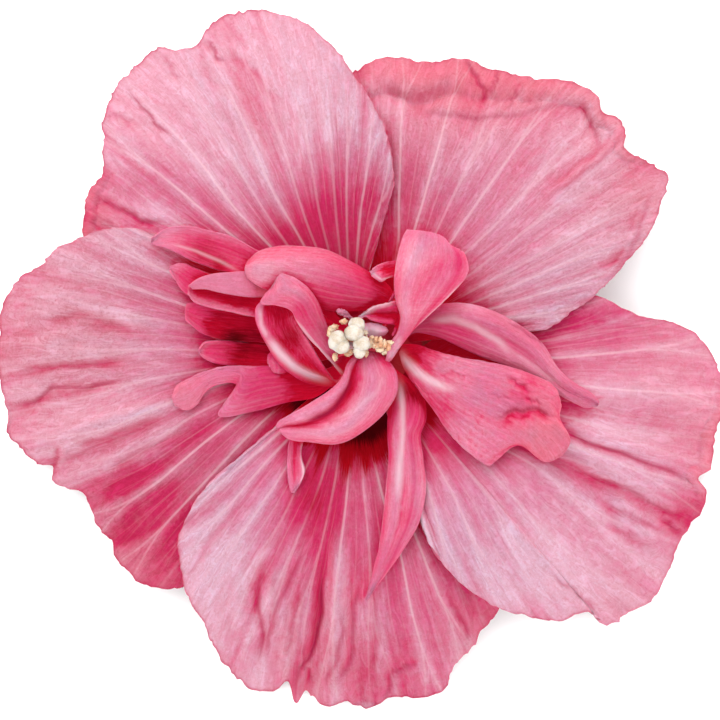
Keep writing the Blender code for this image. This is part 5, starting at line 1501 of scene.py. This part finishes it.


# %% [markdown]
# ** Stigma tissue** is covered in tiny glassy hairs that make it look like cream velvet. **Pollen** is waxy and
# golden, mottled at random with a darker gold that stands for the shade between the grains, a painted shade.
# **Style tissue** is smooth and pale pink, **column tissue** smooth and crimson, a painted shade for the shaded gaps
# where the column shows.

# %% Finishes of the centre
def mottled_finish(name, light, dark, period, relief_height, roughness, lamps=LAMPLIGHT):
    """A matt skin that varies softly between two colours, with a fine grain of a real period in metres."""
    made, tree, shader = new_material(name)
    where = add(tree, "TexCoord").node.outputs["Object"]
    grain = add(tree, "TexNoise", [where, 1 / period, 3.0, 0.65])
    broad = add(tree, "TexNoise", [where, 0.12 / period, 2.0, 0.5])
    mixed = add(tree, "Math", [add(tree, "Math", [grain, 0.6], operation="MULTIPLY"), broad], operation="ADD")
    share = add(tree, "MapRange", [mixed, 0.55, 1.0, 0.0, 1.0], interpolation_type="SMOOTHSTEP")
    colour = add(tree, "Mix", [share, linear(dark, lamps), linear(light, lamps)], data_type="RGBA")
    finish_with(tree, shader, {
        "Base Color": colour, "Normal": add(tree, "Bump", [0.6, relief_height, None, grain]),
        "Roughness": add(tree, "MapRange", [grain, 0.3, 0.7, roughness - 0.08, roughness + 0.08]),
        "Specular IOR Level": 0.2, "Subsurface Weight": 0.3, "Subsurface Radius": (1.0, 0.7, 0.4),
        "Subsurface Scale": 0.0006,
    })
    return made


stigma_velvet = mottled_finish("stigma_cream_velvet", "#faf1e6", "#dcc8ae", 0.00014, 0.00006, 0.6)
# Painted shade: the darker gold, mottled in at random, stands for the shade between the grains.
pollen_wax = mottled_finish("pollen_golden_wax", "#fdeacb", "#e09c74", 0.00022, 0.00006, 0.55, 1.75)
style_tissue = mottled_finish("style_pale_tissue", "#f6ccd0", "#e690a4", 0.0003, 0.00004, 0.55)
# Painted shade: the column is coloured crimson for the shaded gaps where it shows.
column_shade_tissue = mottled_finish("column_crimson_shade_tissue", "#f04864", "#d01c40", 0.0003, 0.00004, 0.55, 1.3)

# %% The style and its heads
STIGMA_HEADS = (
    (357.0, 324.8, 29.0, 0.96, 0.88), (354.0, 333.0, 29.6, 1.16, 1.02), (337.8, 341.2, 29.3, 1.14, 1.26),
    (341.2, 345.4, 29.4, 1.04, 1.02), (361.6, 343.6, 29.3, 1.04, 1.0), (359.6, 350.6, 29.1, 0.8, 0.94),
)
STYLE_FOOT = 23.6
STYLE_TOP = 25.8


def in_space(x, y, z):
    """A place from picture units and a height in mm."""
    return np.array([*plan((x, y)), z * MM])


style_top = in_space(*COLUMN_UNITS, STYLE_TOP)
stems = [tube([in_space(*COLUMN_UNITS, STYLE_FOOT), style_top], [0.42 * MM, 0.4 * MM])]
heads = []
for x, y, z, radius, length in STIGMA_HEADS:
    head = in_space(x, y, z)
    bend = style_top + (head - style_top) * np.array([0.5, 0.5, 0.62])
    stems.append(tube([style_top - (0, 0, 0.4 * MM), bend, head], [0.3 * MM, 0.27 * MM, 0.4 * MM]))
    size = np.array([radius, length, 0.92 * radius]) * MM
    heads.append(lump(head, size, 4, 0.13 * radius * MM, 0.6 * radius * MM))
piece("fine_stigma_heads", heads, stigma_velvet, "style_and_stigma", "stigma_cream")
piece("fine_style_branches", stems, style_tissue, "style_and_stigma", "stigma_cream")

# %% The column, its filaments and anthers
COLUMN_PROFILE = (
    (0, 6.9), (3.4, 6.9), (3.3, 8.5), (2.6, 11), (1.9, 14), (1.5, 18), (1.35, 24.6), (1.1, 25.1), (0, 25.1),
)
ANTHERS = (
    (372, 338, 27.2), (376, 340, 27.6), (380, 341, 27.9), (384, 344, 27.8), (388, 348, 27.4), (385, 352, 27.0),
    (380, 350, 27.6), (376, 346, 27.8), (380, 345, 28.2), (389, 343, 27.0), (371, 344, 27.4), (332, 329, 27.2),
    (330, 333, 27.0), (335, 327, 27.4), (335, 357, 27.2), (344, 322, 27.4), (351, 351, 27.8), (348, 354, 27.4),
    (365, 333, 27.4), (366, 339, 27.4), (350, 341, 26.8), (366, 353, 27.0),
)
ANTHER_SIZE = (0.48, 0.34, 0.3)
POLLEN_GRAINS = 14
POLLEN_RADIUS = 0.09
FILAMENT_RADIUS = 0.11
ROUND_STEPS = 48
COLUMN_STEPS = 90
FLUTE_DEPTH = 0.02

turns = np.arange(ROUND_STEPS) * 2 * math.pi / ROUND_STEPS
fluted = [evenly(COLUMN_PROFILE, COLUMN_STEPS) * (1 + FLUTE_DEPTH * math.cos(5 * turn), 1) for turn in turns]
stamens = [turned(fluted, plan(COLUMN_UNITS))]
pollen = []
draw = np.random.default_rng(5)
for k, place in enumerate(ANTHERS):
    anther = in_space(*place)
    column = in_space(*COLUMN_UNITS, 22.4 + 0.7 * (k % 3))
    way = (anther - column) * (1, 1, 0)
    root = column + way / np.linalg.norm(way) * 1.3 * MM
    middle = (root + anther) / 2 + way * 0.12 - (0, 0, 0.25 * MM)
    stamens.append(tube([root, middle, anther], [FILAMENT_RADIUS * MM] * 3, 8))
    size = draw.permutation(ANTHER_SIZE) * MM
    pollen.append(lump(anther, size, 2, 0.08 * MM, 0.25 * MM))
    for way in draw.normal(size=(POLLEN_GRAINS, 3)):
        way /= np.linalg.norm(way)
        grain = anther + way * size * 1.05
        pollen.append(lump(grain, [POLLEN_RADIUS * MM * draw.uniform(0.7, 1.2)] * 3, 1, 0, 1))
piece("fine_staminal_column", stamens, column_shade_tissue, "staminal_column", "stamen_yellow")
piece("fine_anthers", pollen, pollen_wax, "staminal_column", "stamen_yellow")

# %% [markdown]
# ## Calyx, stalk and bracts
# Below the petals sits the calyx: a green bell whose five sepals end in points, finely hairy and veined. Under it
# a ring of narrow bracts grows from the cut stalk. They are turned and bent from the frame's own measures, with more
# steps, rounder lobes and raised veins.

# %% Green finishes
HAIR_SPACING = 0.31 * MM
GREEN_MOTTLE_SIZE = 2 * MM
HAIR_RELIEF = 0.1 * MM
CUT_HEIGHTS = (0.0004, 0.00046)
INSIDE_GLOW = 0.4


def green_finish(name):
    """Hairy green skin: a soft mottle, pale veins, a dry brown cut end, and inside the bell a painted crimson glow.
    """
    made, tree, shader = new_material(name)
    where = add(tree, "TexCoord").node.outputs["Object"]
    phase = add(tree, "Attribute", attribute_name="phase").node.outputs["Fac"]
    hairs = add(tree, "TexNoise", [where, 1 / HAIR_SPACING, 3.0, 0.7])
    mottle = add(tree, "TexNoise", [where, 1 / GREEN_MOTTLE_SIZE, 3.0, 0.6])
    share = add(tree, "MapRange", [mottle, 0.35, 0.65, 0.0, 1.0], interpolation_type="SMOOTHSTEP")
    hair = add(tree, "MapRange", [hairs, 0.55, 0.8, 0.0, 0.5])
    lane = add(tree, "Math", [phase], operation="ABSOLUTE")
    lane = add(tree, "Math", [lane, 1.0], operation="PINGPONG")
    vein = add(tree, "MapRange", [lane, 0.03, 0.16, 0.5, 0.0], interpolation_type="SMOOTHSTEP")
    height = add(tree, "SeparateXYZ", [where]).node.outputs["Z"]
    cut = add(tree, "MapRange", [height, *CUT_HEIGHTS, 1.0, 0.0])
    inside = add(tree, "Attribute", attribute_name="inside").node.outputs["Fac"]
    colour = linear("#6d9140")
    for amount, code in (
        (share, "#a0c068"), (hair, "#d6e0aa"), (vein, "#c6d68e"), (cut, "#c8a86e"), (inside, "#b40c1c"),
    ):
        colour = add(tree, "Mix", [amount, colour, linear(code)], data_type="RGBA")
    relief = add(tree, "Math", [mottle, 0.7, hairs], operation="MULTIPLY_ADD")
    relief = add(tree, "Math", [vein, 1.2, relief], operation="MULTIPLY_ADD")
    finish_with(tree, shader, {
        "Base Color": colour, "Normal": add(tree, "Bump", [0.6, HAIR_RELIEF, None, relief]),
        "Roughness": add(tree, "MapRange", [hairs, 0.3, 0.7, 0.55, 0.75]),
        "Emission Strength": add(tree, "Math", [inside, INSIDE_GLOW], operation="MULTIPLY"),
        "Emission Color": linear(THROUGH_COLOUR, 1), "Specular IOR Level": 0.25, "Sheen Weight": 0.05,
    })
    made.cycles.emission_sampling = "NONE"
    return made


green_skin = green_finish("calyx_green_hairy")

# %% The calyx
CALYX_INNER = ((0, 6.5), (5.6, 6.5), (6.2, 7.3), (6.7, 9.0), (7.3, 11.2))
CALYX_LOBE_INNER = ((8.8, 13.2), (10.6, 14.3), (12.2, 14.9))
CALYX_LOBE_OUTER = ((12.3, 14.3), (10.9, 13.6), (9.3, 12.5))
CALYX_OUTER = ((8.0, 10.9), (7.5, 9.0), (6.9, 7.0), (5.8, 5.4), (4.3, 4.4), (2.4, 3.75), (0, 3.75))
CALYX_LOBES = 5
CALYX_STEPS = 120
BELL_ROWS = 84
BELL_MOUTH = 7.6
LOBE_NOTCH = 0.08

inner, outer = np.array(CALYX_INNER), np.array(CALYX_OUTER)
profiles = []
for k in range(CALYX_STEPS):
    turn = CALYX_LOBES * k / CALYX_STEPS
    out = 1 - 2 * abs(turn - round(turn))
    share = LOBE_NOTCH + (1 - LOBE_NOTCH) * (0.5 * out + 0.5 * smooth(out))
    tip_inner = inner[-1] + (np.array(CALYX_LOBE_INNER) - inner[-1]) * share
    tip_outer = outer[0] + (np.array(CALYX_LOBE_OUTER) - outer[0]) * share
    rows = np.concatenate([inner, tip_inner, tip_outer, outer])
    fine = through(rows, np.linspace(0, 1, BELL_ROWS))
    fine[:, 0] = np.maximum(fine[:, 0] * (1 + 0.012 * math.cos(2 * math.pi * 3 * turn)), 0)
    profiles.append(fine)
bell = piece("fine_calyx", [turned(profiles, plan(AXIS_UNITS))], green_skin, "calyx", "calyx_green")
bell_points = np.array([vertex.co for vertex in bell.data.vertices])
bell_normals = np.array([vertex.normal for vertex in bell.data.vertices])
bell_radius = np.linalg.norm(bell_points[:, :2] - plan(AXIS_UNITS), axis=1) / MM
# Painted light: the inside of the bell, seen in the shaded gaps between the claws, takes a crimson colour and glow.
inside = smooth(bell_normals[:, 2] / 0.5) * smooth((BELL_MOUTH - bell_radius) / 0.8) * 0.92
give(bell.data, "inside", inside)


def give_veins(piece, count):
    """Numbers an even count of veins round an upright piece, for its finish to draw."""
    away = np.array([vertex.co[:2] for vertex in piece.data.vertices]) - plan(AXIS_UNITS)
    veins = np.arctan2(away[:, 1], away[:, 0]) / math.pi * count
    give(piece.data, "phase", veins)


give_veins(bell, 3 * CALYX_LOBES)

# %% The stalk
STALK_PROFILE = ((0, 0.4), (1.35, 0.4), (1.4, 1.6), (1.7, 2.6), (2.5, 3.3), (2.3, 3.45), (0, 3.45))
STALK_STEPS = 40
STALK_RIBS = 7
ribbed_stalk = [evenly(STALK_PROFILE, STALK_STEPS) * (1 + 0.03 * math.cos(STALK_RIBS * turn), 1) for turn in turns]
stem = piece("fine_stalk", [turned(ribbed_stalk, plan(AXIS_UNITS))], green_skin, "stalk_and_bracts", "calyx_green")
give_veins(stem, STALK_RIBS)

# %% The bracts
BRACT_COUNT = 7
BRACT_ROOT = 1.6
BRACT_REACH = 9.4
BRACT_HALF_WIDTH = 0.8
BRACT_HEIGHT = 2.75
BRACT_RISE = 3.4
BRACT_THICKNESS = 0.0005

for k in range(BRACT_COUNT):
    turn = 2 * math.pi * (k + 0.3) / BRACT_COUNT
    out = np.array([math.cos(turn), math.sin(turn)])
    side = np.array([-out[1], out[0]])
    s = np.linspace(0, 1, 41)[:, None]
    across = np.linspace(-1, 1, 13)
    reach = BRACT_ROOT + BRACT_REACH * (1 + 0.12 * math.sin(5 * k)) * s**0.9 + 0 * across
    half = BRACT_HALF_WIDTH * np.sin(math.pi * (0.18 + 0.8 * s)) ** 0.6 * across
    rise = BRACT_RISE + 0.8 * math.sin(3 * k)
    height = BRACT_HEIGHT - 0.5 * np.sin(math.pi * s) + rise * s**2.2 + 0.16 * across**2
    place = plan(AXIS_UNITS) + MM * (reach[..., None] * out + half[..., None] * side)
    sheet = {"points": np.concatenate([place, height[..., None] * MM], -1), "phase": across + 0 * s}
    bract = blade(f"fine_bract_{k}", sheet, BRACT_THICKNESS, green_skin)
    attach(bract, "root")
    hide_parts("stalk_and_bracts")
print("bracts:", BRACT_COUNT)

# %% [markdown]
# ## Floor, light and camera
# The flower lies on a plain white table under a wide soft light from the upper left. The camera looks straight down
# from two metres through a long lens, as the picture was taken, so the tuft and the rims keep their places.

# %% The table
TABLE_SIZE = 6
bpy.ops.mesh.primitive_plane_add(size=TABLE_SIZE, location=(0, 0, 0))
floor = bpy.context.object
floor.name = "white_table"
table_paint, tree, shader = new_material("white_table_matt_paint")
finish_with(tree, shader, {"Base Color": linear("#fcfcfc", 1), "Roughness": 0.9, "Specular IOR Level": 0.1})
floor.data.materials.append(table_paint)

# %% Light
ROOM_LIGHT = 1.6
world = bpy.data.worlds.new("soft_room")
world.use_nodes = True
world.node_tree.nodes["Background"].inputs["Color"].default_value = (1, 1, 1, 1)
world.node_tree.nodes["Background"].inputs["Strength"].default_value = ROOM_LIGHT
bpy.context.scene.world = world


def soft_light(name, place, size, power):
    """A round lamp that points at the flower: its place and size in metres, its power in watts."""
    light = bpy.data.lights.new(name, "AREA")
    light.shape = "DISK"
    light.size = size
    light.energy = power
    made = bpy.data.objects.new(name, light)
    bpy.context.scene.collection.objects.link(made)
    made.location = place
    made.rotation_euler = Vector(place).to_track_quat("Z", "Y").to_euler()


soft_light("key_light", (-0.14, 0.32, 1.0), 0.9, 12.2)
soft_light("fill_light", (0.6, -0.3, 0.6), 0.6, 1.2)

# %% Camera
CAMERA_HEIGHT = 2.0
SHARP_HEIGHT = 0.008
SENSOR_WIDTH = 36
lens = bpy.data.cameras.new("camera")
lens.sensor_width = SENSOR_WIDTH
lens.lens = SENSOR_WIDTH * (CAMERA_HEIGHT - SHARP_HEIGHT) / FLOWER_WIDTH
camera = bpy.data.objects.new("camera", lens)
centre = plan((PICTURE_UNITS / 2, PICTURE_UNITS / 2))
camera.location = (centre[0], centre[1], CAMERA_HEIGHT)
bpy.context.scene.collection.objects.link(camera)
bpy.context.scene.camera = camera
bpy.context.scene.view_settings.view_transform = "Standard"
print("lens:", round(lens.lens), "mm")
